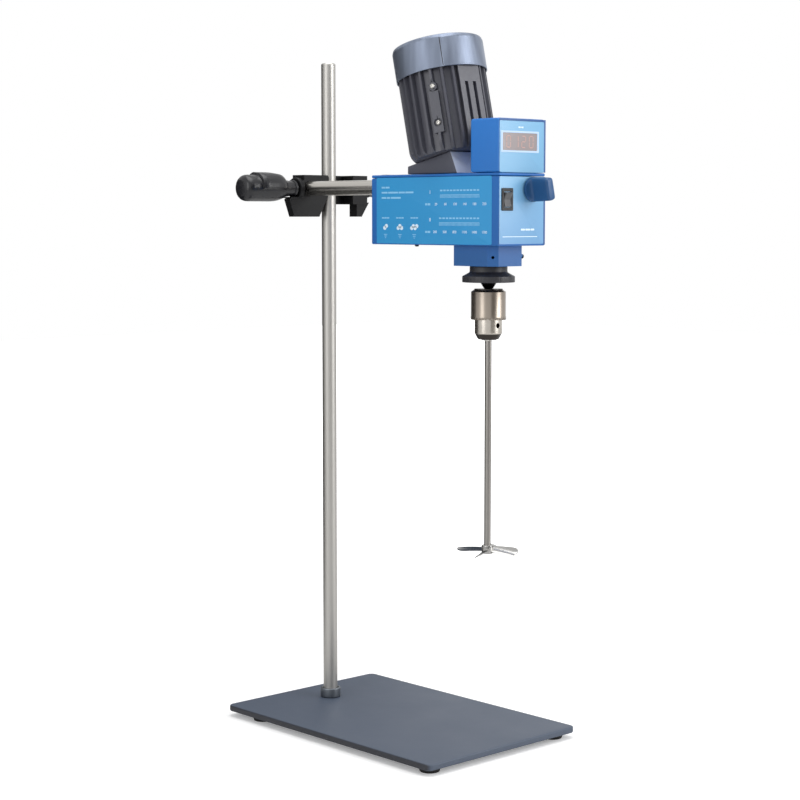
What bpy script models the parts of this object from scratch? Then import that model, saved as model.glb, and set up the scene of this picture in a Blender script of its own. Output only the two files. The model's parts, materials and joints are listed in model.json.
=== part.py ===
# Overhead laboratory stirrer on a plate stand, as an assembly of separate pieces.
# Metres, +Z up. The front of the drive head, with its display and knob, faces -Y.
# Places below are given from the centre of the base plate's top face. One empty, the stand frame,
# then moves the whole so that the middle of its footprint's box lies at the origin.

import math

import bpy
import bmesh
from mathutils import Matrix, Vector

MM = 0.001
GAP = 0.3 * MM            # clearance between pieces that touch
RUN = 0.4 * MM            # clearance round what turns or slides

# Stand
PLATE_WIDTH = 220 * MM
PLATE_LENGTH = 330 * MM
PLATE_THICK = 7 * MM
PLATE_CORNER = 7 * MM
PLATE_EDGE = 1.6 * MM
FOOT_RADIUS = 12 * MM
FOOT_HEIGHT = 6 * MM
FOOT_SIDE_INSET = 18 * MM
FOOT_FRONT_INSET = 18 * MM
FOOT_REAR_INSET = 42 * MM
ROD_RADIUS = 8 * MM
ROD_TOP = 719 * MM
ROD_REAR_INSET = 51 * MM
ROD_CHAMFER = 1.2 * MM
COLLAR_RADIUS = 11.5 * MM
COLLAR_HEIGHT = 11 * MM
BOLT_RADIUS = 4 * MM
BOLT_HEAD_RADIUS = 7 * MM
BOLT_HEAD_HEIGHT = 4 * MM
BOLT_GRIP = 18 * MM       # how far the bolt reaches into the rod

# Boss head, which holds the arm across the rod
ARM_RADIUS = 8 * MM
ARM_OFFSET = 34 * MM      # arm's axis to rod's axis, towards -X
ARM_Z = 580 * MM
ARM_BEHIND = 28 * MM      # arm's end beyond the rod
BOSS_THICK = 25 * MM      # along the arm
BOSS_RISE = 15 * MM       # top above the arm's axis
BOSS_DROP = 31 * MM       # foot below the arm's axis
BOSS_WAIST = 17 * MM      # back wall's lower edge below the arm's axis
BOSS_WALL = 8 * MM        # wall beside the arm
HOOK_FLARE = 13 * MM      # how far the foot stands out beyond that wall
HOOK_THROAT = 20 * MM     # rod's side to the hook's inner face
HOOK_WALL = 26 * MM
HOOK_BACK = 10 * MM
SCREW_RADIUS = 4.9 * MM
PAD_RADIUS = 4.6 * MM
PAD_THICK = 3 * MM
KNOB_LENGTH = 78 * MM
KNOB_RADIUS = 13.3 * MM
KNOB_LOBE = 3.2 * MM      # how far a lobe stands out
KNOB_LOBES = 4
KNOB_NECK = 8.2 * MM
KNOB_NECK_LENGTH = 15 * MM
KNOB_STAND_OFF = 1.2 * MM

# Drive head
HEAD_WIDTH = 66 * MM
HEAD_FRONT = -217 * MM
HEAD_BACK = -32 * MM
HEAD_FLOOR = 520.5 * MM
HEAD_TOP = 592 * MM
HEAD_WALL = 2.5 * MM
HEAD_EDGE = 1.2 * MM
PANEL_THICK = 2 * MM
TOP_PLATE_THICK = 3 * MM
DISPLAY_DEPTH = 40 * MM
DISPLAY_TOP = 645 * MM
WINDOW_WIDTH = 47 * MM
WINDOW_HEIGHT = 18.4 * MM
WINDOW_X = -4 * MM        # from the head's middle plane
WINDOW_Z = 622.5 * MM
BEZEL = 2.6 * MM          # border round the window
BEZEL_PROUD = 0.8 * MM
SWITCH_X = -22 * MM
SWITCH_Z = 566 * MM
SWITCH_WIDTH = 16 * MM
SWITCH_HEIGHT = 22 * MM
SWITCH_RIM = 2 * MM
SWITCH_PROUD = 1.5 * MM
SWITCH_ROCK = math.radians(9)
SWITCH_DEPTH = 14 * MM
SPEED_X = 13 * MM
SPEED_Z = 576 * MM
SPEED_KNOB_RADIUS = 12.3 * MM
SPEED_KNOB_LENGTH = 25.7 * MM
SPEED_SKIRT = 3.5 * MM    # round foot of the knob
SPEED_BAR_HALF = 4.9 * MM # half the thickness of its grip bar
SPEED_BAR_TURN = math.radians(13)
KNOB_GAP = 1 * MM
SOCKET_LENGTH = 20 * MM
SOCKET_RADIUS = 12 * MM
GLAND_RADIUS = 6 * MM
GLAND_LENGTH = 14 * MM
GLAND_Z = 538 * MM
SPINDLE_BEHIND = 46 * MM  # spindle's axis to the front face
CASE_LENGTH = 63 * MM
CASE_SHIFT = 1.5 * MM      # case's middle behind the spindle's axis
CASE_WIDTH = 49 * MM
CASE_HEIGHT = 20.5 * MM
CASE_CORNER = 8 * MM
CASE_WALL = 3.5 * MM
CASE_SCREW = 2 * MM        # radius of the screw head on the case's side
CASE_SCREW_PROUD = 2.4 * MM
CASE_HOLE = 1.6 * MM       # radius of the set screw's hole
CASE_HOLE_UP = 9 * MM
NECK_RADIUS = 13 * MM
NECK_LENGTH = 14 * MM

# Motor, leaning back on its sliding wedge
LEAN = math.radians(13)
MOTOR_Y = -122 * MM       # middle of the motor's foot
MOTOR_Z = 609.5 * MM
MOTOR_RADIUS = 45 * MM
MOTOR_LENGTH = 84.5 * MM
SHIELD_LENGTH = 13 * MM   # drive end's cover
FIN_DEPTH = 5 * MM
FIN_COUNT = 24
FIN_SHARE = 0.4           # fin's width as a share of its pitch
MOTOR_WALL = 5 * MM
PLATE_PAD_TURN = math.radians(210)  # rating plate's flat, counted from +X round the motor's axis
PLATE_PAD_HALF = 5.3 * MM
PLATE_PAD_FLAT = 44.2 * MM          # flat's distance from the axis
PLATE_PAD_INSET = 6 * MM            # above the drive end's cover
PLATE_PAD_LENGTH = 42 * MM
WIDE_PAD_TURN = math.radians(264)
WIDE_PAD_HALF = 13 * MM
WIDE_PAD_FLAT = 43 * MM
WIDE_PAD_TOP = 17 * MM              # closed part above the two slots
SLOT_AT = 5.2 * MM
SLOT_HALF = 1.9 * MM
AIR_GAP = 0.5 * MM
STATOR_RING = 13 * MM
END_WINDING = 12 * MM      # free space at the stator's drive end
SHIELD_BOSS = 5 * MM
ROTOR_PROUD = 1 * MM       # rotor's core beyond the stator, each end
COWL_RADIUS = 46.7 * MM
COWL_LENGTH = 33 * MM
COWL_WALL = 1.3 * MM
COWL_LAP = 1.2 * MM       # cowl's mouth below the body's end
VENT_COUNT = 8            # air holes in the cowl's top
VENT_CIRCLE = 22 * MM
VENT_RADIUS = 4 * MM
SHAFT_RADIUS = 5 * MM
BEARING_RADIUS = 12 * MM
BEARING_LENGTH = 8 * MM
FAN_BLADES = 6
FAN_HUB = 12 * MM
WEDGE_HALF = 29 * MM
WEDGE_BACK = 39.5 * MM      # wedge's rear face behind the motor's middle
WEDGE_FRONT = 23 * MM
WEDGE_FLARE = 10 * MM     # wedge's toe beyond its front edge
NECK_HALF = 14 * MM       # part of the wedge in the slot
NECK_REACH = 14 * MM
CARRIAGE_FORWARD = 9 * MM
CARRIAGE_BACK = 4 * MM
CARRIAGE_PLATE = 3.2 * MM
SCREW_CORE = 3 * MM       # radius of the speed screw
SCREW_LENGTH = 58 * MM
BUSH_RADIUS = 6 * MM
NUT_HALF = 6 * MM
PLATE_HALF = 24 * MM      # half width of the plate under the wedge
PLATE_REACH = 26 * MM     # its rear edge behind the neck's axis
NUT_LENGTH = 8 * MM

# Drive train
CONE_RADIUS = 22 * MM
CONE_RIM = 3 * MM
LINE_BELOW = 22 * MM      # cone's line of contact below the top plate
FRICTION_RADIUS = 27 * MM
FRICTION_WIDTH = 7 * MM
FRICTION_HEIGHT = 8 * MM
CARRIER_HEIGHT = 13 * MM
INPUT_RADIUS = 4 * MM
SPINDLE_RADIUS = 5 * MM
PINION_TEETH = 12
WHEEL_TEETH = 26
TOOTH_MODULE = 1 * MM
GEAR_FACE = 6 * MM
GEAR_LIFT = 4.5 * MM      # gears above the case's floor
PLATE_BEARING = 8 * MM
PLATE_HEIGHT = 5.7 * MM

# Chuck, shaft and propeller
CHUCK_TOP = 477 * MM
SHOULDER_RADIUS = 8 * MM
SHOULDER_HEIGHT = 5.5 * MM
ARBOR_RADIUS = 4 * MM
ARBOR_LENGTH = 12 * MM
SLEEVE_RADIUS = 17.7 * MM
SLEEVE_LENGTH = 31 * MM
SLEEVE_TEETH = 26
TOOTH_DEPTH = 1.6 * MM
NOSE_RADIUS = 13.9 * MM
NOSE_LENGTH = 20 * MM
NOSE_TIP_RADIUS = 9.6 * MM
CHUCK_CAPACITY = 5.2 * MM # largest shaft's radius
JAW_RADIUS = 2.8 * MM
JAW_LENGTH = 20 * MM
JAW_TRAVEL = 3 * MM
JAW_ANGLE = math.radians(12)
JAW_SEAT = 5.4 * MM       # jaw's axis to the chuck's axis at the nose
KEY_HOLE = 2.2 * MM
KEY_HOLE_UP = 14.5 * MM   # above the nose's end
STIR_RADIUS = 3.5 * MM
STIR_GRIP = 24 * MM       # shaft's length inside the chuck
PROP_Z = 212 * MM
PROP_RADIUS = 32 * MM
PROP_HUB = 6 * MM
PROP_HUB_LENGTH = 9 * MM
PROP_BLADES = 4
PROP_PITCH = math.radians(30)
BLADE_ROOT = 5 * MM
BLADE_TIP = 8 * MM        # half widths
BLADE_THICK = 1.4 * MM
SELECTOR_RADIUS = 26.5 * MM
SELECTOR_COLLAR = 19 * MM
SELECTOR_RIM = 6 * MM
SELECTOR_SLOPE = 3.5 * MM

# Places that follow from the sizes above
ROD_Y = PLATE_LENGTH / 2 - ROD_REAR_INSET
HEAD_X = -ARM_OFFSET
SPINDLE_Y = HEAD_FRONT + SPINDLE_BEHIND
CASE_FLOOR = HEAD_FLOOR - CASE_HEIGHT
GEAR_CENTRES = (PINION_TEETH + WHEEL_TEETH) * TOOTH_MODULE / 2
INPUT_Y = SPINDLE_Y + GEAR_CENTRES
LINE_Z = HEAD_TOP - LINE_BELOW
NECK_Y = MOTOR_Y - (MOTOR_Z - HEAD_TOP) * math.tan(LEAN)
MOTOR_CORE = MOTOR_RADIUS - FIN_DEPTH
MOTOR_BORE = MOTOR_CORE - MOTOR_WALL
ROTOR_RADIUS = MOTOR_BORE - GAP - STATOR_RING - AIR_GAP
PLATE_Z = HEAD_FLOOR + HEAD_WALL + GAP
CARRIER_TOP = LINE_Z - 2 * GAP - FRICTION_HEIGHT
NOSE_END = CHUCK_TOP - SLEEVE_LENGTH - NOSE_LENGTH
SELECTOR_TOP = CASE_FLOOR - RUN

stage = {}


# Tools
def clear_scene():
    for old in list(bpy.data.objects):
        bpy.data.objects.remove(old, do_unlink=True)


def paint(name, colour, rough, metal=0.0):
    made = bpy.data.materials.get(name)
    if made:
        return made
    made = bpy.data.materials.new(name)
    made.use_nodes = True
    shader = made.node_tree.nodes["Principled BSDF"]
    shader.inputs["Base Color"].default_value = (*colour, 1)
    shader.inputs["Roughness"].default_value = rough
    shader.inputs["Metallic"].default_value = metal
    made.diffuse_color = (*colour, 1)
    return made


def anthracite():
    return paint("anthracite_coat", (0.13, 0.15, 0.19), 0.55)


def steel():
    return paint("satin_steel", (0.62, 0.61, 0.58), 0.3, 1.0)


def black_plastic():
    return paint("black_plastic", (0.025, 0.025, 0.03), 0.45)


def black_metal():
    return paint("black_coated_metal", (0.03, 0.03, 0.035), 0.4)


def blue_coat():
    return paint("blue_coat", (0.03, 0.19, 0.56), 0.4)


def light_blue():
    return paint("light_blue_panel", (0.2, 0.47, 0.8), 0.45)


def knob_blue():
    return paint("knob_blue", (0.01, 0.08, 0.26), 0.4)


def motor_grey():
    return paint("motor_casting", (0.04, 0.042, 0.05), 0.5, 0.3)


def cowl_grey():
    return paint("cowl_sheet", (0.35, 0.4, 0.48), 0.35, 0.8)


def rubber():
    return paint("rubber", (0.02, 0.02, 0.02), 0.8)


def bronze():
    return paint("bronze", (0.45, 0.3, 0.12), 0.4, 1.0)


def board_green():
    return paint("circuit_board", (0.02, 0.15, 0.06), 0.5)


def glass_red():
    return paint("tinted_window", (0.3, 0.03, 0.03), 0.1)


def smooth(mesh, angle=35):
    mesh.shade_smooth()
    mesh.set_sharp_from_angle(angle=math.radians(angle))


def place(name, mesh, colour, at=(0, 0, 0), turn=(0, 0, 0), under=None, round_piece=True):
    """A named object; at and turn are given in the frame of what it hangs under."""
    if round_piece:
        smooth(mesh)
    piece = bpy.data.objects.new(name, mesh)
    bpy.context.scene.collection.objects.link(piece)
    piece.location = at
    piece.rotation_euler = turn
    piece.parent = under or stage["root"]
    if colour:
        mesh.materials.append(colour)
    return piece


def empty(name, at=(0, 0, 0), turn=(0, 0, 0), under=None):
    made = bpy.data.objects.new(name, None)
    bpy.context.scene.collection.objects.link(made)
    made.location = at
    made.rotation_euler = turn
    made.parent = under or stage.get("root")
    made.empty_display_size = 0.01
    return made


def helper(mesh, at=(0, 0, 0), turn=(0, 0, 0), under=None):
    """A cutter or a shape to be joined, which isn't a piece of its own."""
    made = place("helper", mesh, None, at, turn, under, False)
    made.hide_render = True
    made.hide_set(True)
    made.display_type = "WIRE"
    return made


def boolean(piece, other, operation):
    step = piece.modifiers.new(operation.lower(), "BOOLEAN")
    step.operation = operation
    step.object = other
    step.solver = "EXACT"
    return piece


def cut(piece, mesh, at=(0, 0, 0), turn=(0, 0, 0), under=None):
    return boolean(piece, helper(mesh, at, turn, under or piece), "DIFFERENCE")


def join(piece, mesh, at=(0, 0, 0), turn=(0, 0, 0), under=None):
    return boolean(piece, helper(mesh, at, turn, under or piece), "UNION")


def finished(bm, name="shape"):
    bmesh.ops.remove_doubles(bm, verts=bm.verts, dist=1e-7)
    bmesh.ops.recalc_face_normals(bm, faces=bm.faces)
    if bm.calc_volume(signed=True) < 0:
        bmesh.ops.reverse_faces(bm, faces=bm.faces)
    mesh = bpy.data.meshes.new(name)
    bm.to_mesh(mesh)
    bm.free()
    return mesh


def lathe(profile, sides=32, ring=False):
    """Turns (radius, z) points about Z. A ring's last point joins its first; a solid's ends lie on the axis."""
    bm = bmesh.new()
    rows = []
    for radius, z in profile:
        if radius < 1e-9:
            rows.append([bm.verts.new((0, 0, z))])
            continue
        rows.append([
            bm.verts.new((radius * math.cos(2 * math.pi * k / sides), radius * math.sin(2 * math.pi * k / sides), z))
            for k in range(sides)
        ])
    pairs = list(zip(rows, rows[1:]))
    if ring:
        pairs.append((rows[-1], rows[0]))
    for low, high in pairs:
        for k in range(sides):
            j = (k + 1) % sides
            corners = [low[k % len(low)], low[j % len(low)], high[j % len(high)], high[k % len(high)]]
            corners = [c for n, c in enumerate(corners) if c not in corners[:n]]
            bm.faces.new(corners)
    return finished(bm)


def rod(radius, low, high, chamfer=0.0, sides=28):
    c = chamfer
    if c:
        return lathe([(0, low), (radius - c, low), (radius, low + c), (radius, high - c), (radius - c, high), (0, high)], sides)
    return lathe([(0, low), (radius, low), (radius, high), (0, high)], sides)


def tube(outer, inner, low, high, chamfer=0.0, sides=32):
    c = chamfer
    if c:
        return lathe([(inner, low), (outer - c, low), (outer, low + c), (outer, high - c), (outer - c, high), (inner, high)], sides, True)
    return lathe([(inner, low), (outer, low), (outer, high), (inner, high)], sides, True)


def prism(outline, low, high, along="Z"):
    """Extrudes an outline. Along Z it is (x, y), along Y it is (x, z), along X it is (y, z)."""
    bm = bmesh.new()
    spots = {
        "Z": lambda p, h: (p[0], p[1], h),
        "Y": lambda p, h: (p[0], h, p[1]),
        "X": lambda p, h: (h, p[0], p[1]),
    }[along]
    face = bm.faces.new([bm.verts.new(spots(p, low)) for p in outline])
    grown = bmesh.ops.extrude_face_region(bm, geom=[face])
    moved = [v for v in grown["geom"] if isinstance(v, bmesh.types.BMVert)]
    bmesh.ops.translate(bm, verts=moved, vec=Vector(spots((0, 0), high)) - Vector(spots((0, 0), low)))
    return finished(bm)


def rounded(width, height, radius, middle=(0, 0), steps=4):
    """A rectangle's outline with round corners."""
    points = []
    for quarter, (sx, sy) in enumerate(((1, 1), (-1, 1), (-1, -1), (1, -1))):
        cx = middle[0] + sx * (width / 2 - radius)
        cy = middle[1] + sy * (height / 2 - radius)
        for k in range(steps + 1):
            angle = math.pi / 2 * (quarter + k / steps)
            points.append((cx + radius * math.cos(angle), cy + radius * math.sin(angle)))
    return points


def block(low, high):
    bm = bmesh.new()
    size = Vector(high) - Vector(low)
    middle = (Vector(high) + Vector(low)) / 2
    bmesh.ops.create_cube(bm, size=1, matrix=Matrix.Translation(middle) @ Matrix.Diagonal((*size, 1)))
    return finished(bm)


def soften(piece, width, segments=2, angle=30):
    step = piece.modifiers.new("edges", "BEVEL")
    step.width = width
    step.segments = segments
    step.limit_method = "ANGLE"
    step.angle_limit = math.radians(angle)
    step.harden_normals = False
    return piece


def lobed(rows, lobes, sides=40, sharp=1.5, phase=0.0):
    """A closed turned shape whose radius swells into lobes; rows are (z, core radius, lobe height)."""
    bm = bmesh.new()
    rings = []
    for z, core, lobe in rows:
        ring = []
        for k in range(sides):
            angle = 2 * math.pi * k / sides
            swell = max(0.0, math.cos(lobes * (angle - phase))) ** sharp
            radius = core + lobe * swell
            ring.append(bm.verts.new((radius * math.cos(angle), radius * math.sin(angle), z)))
        rings.append(ring)
    for low, high in zip(rings, rings[1:]):
        for k in range(sides):
            j = (k + 1) % sides
            bm.faces.new((low[k], low[j], high[j], high[k]))
    bm.faces.new(rings[0])
    bm.faces.new(rings[-1])
    return finished(bm)


def stage_root():
    """The stand frame: puts the middle of the assembly's footprint at the origin, with the feet on Z = 0."""
    low_x = -(ARM_OFFSET + ARM_RADIUS + BOSS_WALL + KNOB_STAND_OFF + KNOB_LENGTH)
    high_x = ROD_RADIUS + HOOK_THROAT + HOOK_WALL + KNOB_STAND_OFF + KNOB_LENGTH
    low_y = HEAD_FRONT - KNOB_GAP - SPEED_KNOB_LENGTH
    high_y = PLATE_LENGTH / 2
    stage["root"] = None
    at = (-(low_x + high_x) / 2, -(low_y + high_y) / 2, PLATE_THICK + FOOT_HEIGHT)
    stage["root"] = empty("stand_frame", at)


# Stand
def build_stand():
    plate = prism(rounded(PLATE_WIDTH, PLATE_LENGTH, PLATE_CORNER), -PLATE_THICK, 0)
    plate = soften(place("base_plate", plate, anthracite(), round_piece=False), PLATE_EDGE, 2, 60)
    hole = rod(BOLT_RADIUS + GAP, -PLATE_THICK - MM, MM, sides=20)
    cut(plate, hole, (0, ROD_Y, 0))
    side = PLATE_WIDTH / 2 - FOOT_SIDE_INSET
    rows = {"front": FOOT_FRONT_INSET - PLATE_LENGTH / 2, "rear": PLATE_LENGTH / 2 - FOOT_REAR_INSET}
    profile = [
        (0, -FOOT_HEIGHT), (FOOT_RADIUS - 3 * MM, -FOOT_HEIGHT), (FOOT_RADIUS - 2.2 * MM, -FOOT_HEIGHT + 0.8 * MM),
        (FOOT_RADIUS, -GAP), (0, -GAP),
    ]
    for row, y in rows.items():
        for name, x in (("left", -side), ("right", side)):
            place(f"foot_{row}_{name}", lathe(profile, 24), rubber(), (x, y, -PLATE_THICK))
    stand_rod = place("stand_rod", rod(ROD_RADIUS, GAP, ROD_TOP, ROD_CHAMFER), steel(), (0, ROD_Y, 0))
    cut(stand_rod, rod(BOLT_RADIUS + GAP, -MM, BOLT_GRIP + 2 * MM, sides=20))
    collar = tube(COLLAR_RADIUS, ROD_RADIUS + GAP, GAP, COLLAR_HEIGHT, 1 * MM, 6 * 5)
    place("rod_collar", collar, steel(), (0, ROD_Y, 0))
    low = -PLATE_THICK - GAP
    head = [(0, low - BOLT_HEAD_HEIGHT), (BOLT_HEAD_RADIUS, low - BOLT_HEAD_HEIGHT), (BOLT_HEAD_RADIUS, low)]
    shank = [(BOLT_RADIUS, low), (BOLT_RADIUS, BOLT_GRIP), (0, BOLT_GRIP)]
    place("rod_bolt", lathe(head + shank, 20), steel(), (0, ROD_Y, 0))


# Boss head
def build_boss_head():
    frame = stage["clamp"] = empty("clamp_frame", (0, ROD_Y, ARM_Z))
    half = BOSS_THICK / 2
    wall = -(ARM_OFFSET + ARM_RADIUS + BOSS_WALL)
    web = -(ROD_RADIUS - 2 * MM)
    shelf = -(KNOB_NECK + MM)
    arm_block = [
        (wall, BOSS_RISE - 4 * MM), (wall + 4 * MM, BOSS_RISE), (web - 2 * MM, BOSS_RISE), (web, BOSS_RISE - 2 * MM),
        (web, -6 * MM), (web - 14 * MM, -BOSS_DROP), (wall - HOOK_FLARE + 7 * MM, -BOSS_DROP),
        (wall - HOOK_FLARE, shelf - 3 * MM), (wall - HOOK_FLARE + 3 * MM, shelf), (wall, shelf),
    ]
    boss = place("boss_head", prism(arm_block, -half, half, "Y"), black_metal(), under=frame, round_piece=False)
    inner = ROD_RADIUS + HOOK_THROAT
    outer = inner + HOOK_WALL
    back = ROD_RADIUS + 0.8 * MM
    far = back + HOOK_BACK
    hook = [
        (web - 18 * MM, half - 4 * MM), (web - 10 * MM, half - 6 * MM), (web - 3 * MM, back), (inner, back),
        (inner, -half + 3 * MM), (outer - 5 * MM, -half + 3 * MM), (outer, -half + 8 * MM), (outer, far - 6 * MM),
        (outer - 6 * MM, far), (web - 8 * MM, far),
    ]
    join(boss, prism(hook, -BOSS_WAIST, BOSS_RISE))
    toe = [
        (inner + 0.5 * MM, -BOSS_WAIST + 2 * MM), (inner + 3 * MM, -BOSS_DROP), (inner + 14 * MM, -BOSS_DROP),
        (outer - 1 * MM, -BOSS_WAIST + 2 * MM),
    ]
    join(boss, prism(toe, -half + 4 * MM, far - 3 * MM, "Y"))
    apex = -(ROD_RADIUS + GAP) * math.sqrt(2)
    notch = [(apex, 0), (apex + 12 * MM, -12 * MM), (apex + 12 * MM, 12 * MM)]
    cut(boss, prism(notch, -BOSS_DROP - MM, BOSS_RISE + MM))
    quarter = math.pi / 2
    cut(boss, rod(ARM_RADIUS + GAP, -far, far + MM, sides=32), (-ARM_OFFSET, 0, 0), (quarter, 0, 0))
    hole = SCREW_RADIUS + RUN
    cut(boss, rod(hole, 0, BOSS_WALL + HOOK_FLARE + 8 * MM, sides=24), (-ARM_OFFSET - 4 * MM, 0, 0), (0, -quarter, 0))
    cut(boss, rod(hole, 0, HOOK_WALL + 8 * MM, sides=24), (inner - 4 * MM, 0, 0), (0, quarter, 0))
    return outer


def knob_mesh():
    neck = KNOB_NECK_LENGTH
    grip = KNOB_LENGTH - 20 * MM
    lobe = KNOB_LOBE
    rows = [(0, KNOB_NECK, 0), (neck, KNOB_NECK, 0)]
    rows += [(neck + 3 * MM, KNOB_RADIUS - 2.5 * MM, lobe * 0.3), (neck + 9 * MM, KNOB_RADIUS - 0.5 * MM, lobe * 0.8)]
    rows += [(neck + 20 * MM, KNOB_RADIUS, lobe), (grip - 2 * MM, KNOB_RADIUS, lobe), (grip + 0.5 * MM, KNOB_RADIUS, 0)]
    for k in range(1, 4):
        turn = math.pi / 2 * k / 4
        rows.append((grip + 6 * MM + 14 * MM * math.sin(turn), KNOB_RADIUS * math.cos(turn) ** 0.55, 0))
    rows.append((KNOB_LENGTH, KNOB_RADIUS * 0.42, 0))
    return lobed(rows, KNOB_LOBES, 32)


def build_clamp_screw(name, side, start, face):
    """A screw along X on one side: its pad stops at the bar at start, its knob stands off the wall at face."""
    frame = empty(name + "_axis", (side * start, 0, 0), (0, side * math.pi / 2, 0), stage["clamp"])
    pad = [(0, GAP), (PAD_RADIUS - 0.6 * MM, GAP), (PAD_RADIUS, GAP + 0.6 * MM), (PAD_RADIUS, PAD_THICK), (0, PAD_THICK)]
    place(name + "_pad", lathe(pad, 24), steel(), under=frame)
    knob_start = face - start + KNOB_STAND_OFF
    low = PAD_THICK + GAP
    core = SCREW_RADIUS - 0.8 * MM
    socket = KNOB_NECK_LENGTH + 20 * MM
    screw = [(0, low), (core, low), (SCREW_RADIUS, low + 0.8 * MM), (SCREW_RADIUS, knob_start + socket), (0, knob_start + socket)]
    place(name + "_screw", lathe(screw, 24), steel(), under=frame)
    knob = place(name + "_knob", knob_mesh(), black_plastic(), (0, 0, knob_start), under=frame)
    cut(knob, rod(SCREW_RADIUS + GAP, -MM, socket + GAP, sides=24))


# Drive head
def build_head():
    head = stage["head"] = empty("head_frame", (HEAD_X, 0, 0))
    quarter = math.pi / 2
    half = HEAD_WIDTH / 2
    shell_top = HEAD_TOP - TOP_PLATE_THICK - GAP
    arm_start = HEAD_BACK - HEAD_WALL - SOCKET_LENGTH + 2 * MM + HEAD_WALL + GAP
    arm = rod(ARM_RADIUS, -(ROD_Y + ARM_BEHIND), -arm_start, 1 * MM)
    place("extension_arm", arm, steel(), (0, 0, ARM_Z), (quarter, 0, 0), head)

    shell = place("main_housing", block((-half, HEAD_FRONT, HEAD_FLOOR), (half, HEAD_BACK, shell_top)), blue_coat(),
                  under=head, round_piece=False)
    soften(shell, HEAD_EDGE, 2)
    wall = HEAD_WALL
    inner = block((-half + wall, HEAD_FRONT - wall, HEAD_FLOOR + wall), (half - wall, HEAD_BACK - wall, HEAD_TOP + wall))
    cut(shell, inner)
    saddle = block((-SOCKET_RADIUS, -wall - SOCKET_LENGTH, -SOCKET_RADIUS), (SOCKET_RADIUS, -wall / 2, 0))
    join(shell, saddle, (0, HEAD_BACK, ARM_Z))
    cut(shell, rod(ARM_RADIUS + GAP, -2 * wall, wall + SOCKET_LENGTH - 2 * MM), (0, HEAD_BACK, ARM_Z), (quarter, 0, 0))
    cut(shell, rod(GLAND_RADIUS + GAP, -2 * wall, 2 * wall, sides=24), (0, HEAD_BACK, GLAND_Z), (quarter, 0, 0))
    inside = CASE_WIDTH / 2 - CASE_WALL
    well = prism(rounded(2 * inside, CASE_LENGTH - 2 * CASE_WALL, CASE_CORNER - CASE_WALL, (0, SPINDLE_Y + CASE_SHIFT)),
                 HEAD_FLOOR - wall, HEAD_FLOOR + 2 * wall)
    cut(shell, well)

    gland = [
        (0, wall + 2 * MM), (GLAND_RADIUS, wall + 2 * MM), (GLAND_RADIUS, -GAP), (GLAND_RADIUS + 2.5 * MM, -GAP),
        (GLAND_RADIUS + 2.5 * MM, -4 * MM), (GLAND_RADIUS - 1 * MM, -5 * MM), (GLAND_RADIUS - 2.5 * MM, -GLAND_LENGTH),
        (0, -GLAND_LENGTH),
    ]
    place("cable_gland", lathe(gland, 24), black_plastic(), (0, HEAD_BACK, GLAND_Z), (quarter, 0, 0), head)

    side = half - wall - GAP
    panel = block((-side, HEAD_FRONT, HEAD_FLOOR + wall + GAP), (side, HEAD_FRONT + PANEL_THICK, shell_top - GAP))
    panel = place("front_panel", panel, light_blue(), under=head, round_piece=False)
    hole = SWITCH_WIDTH - 2 * SWITCH_RIM + 2 * GAP
    tall = SWITCH_HEIGHT - 2 * SWITCH_RIM + 2 * GAP
    cut(panel, block((-hole / 2, -MM, -tall / 2), (hole / 2, PANEL_THICK + MM, tall / 2)), (SWITCH_X, HEAD_FRONT, SWITCH_Z))
    cut(panel, rod(BUSH_RADIUS + GAP, -4 * MM, MM, sides=24), (SPEED_X, HEAD_FRONT, SPEED_Z), (quarter, 0, 0))

    slot_half = NECK_HALF + RUN
    slot_front = NECK_Y - CARRIAGE_FORWARD - NECK_REACH - RUN
    slot_back = NECK_Y + CARRIAGE_BACK + NECK_REACH + RUN
    lid = place("top_plate", block((-half, HEAD_FRONT, HEAD_TOP - TOP_PLATE_THICK), (half, HEAD_BACK, HEAD_TOP)),
                blue_coat(), under=head, round_piece=False)
    soften(lid, 0.8 * MM, 1)
    slot = rounded(2 * slot_half, slot_back - slot_front, 4 * MM, (0, (slot_back + slot_front) / 2))
    cut(lid, prism(slot, HEAD_TOP - 2 * TOP_PLATE_THICK, HEAD_TOP + MM))


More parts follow.
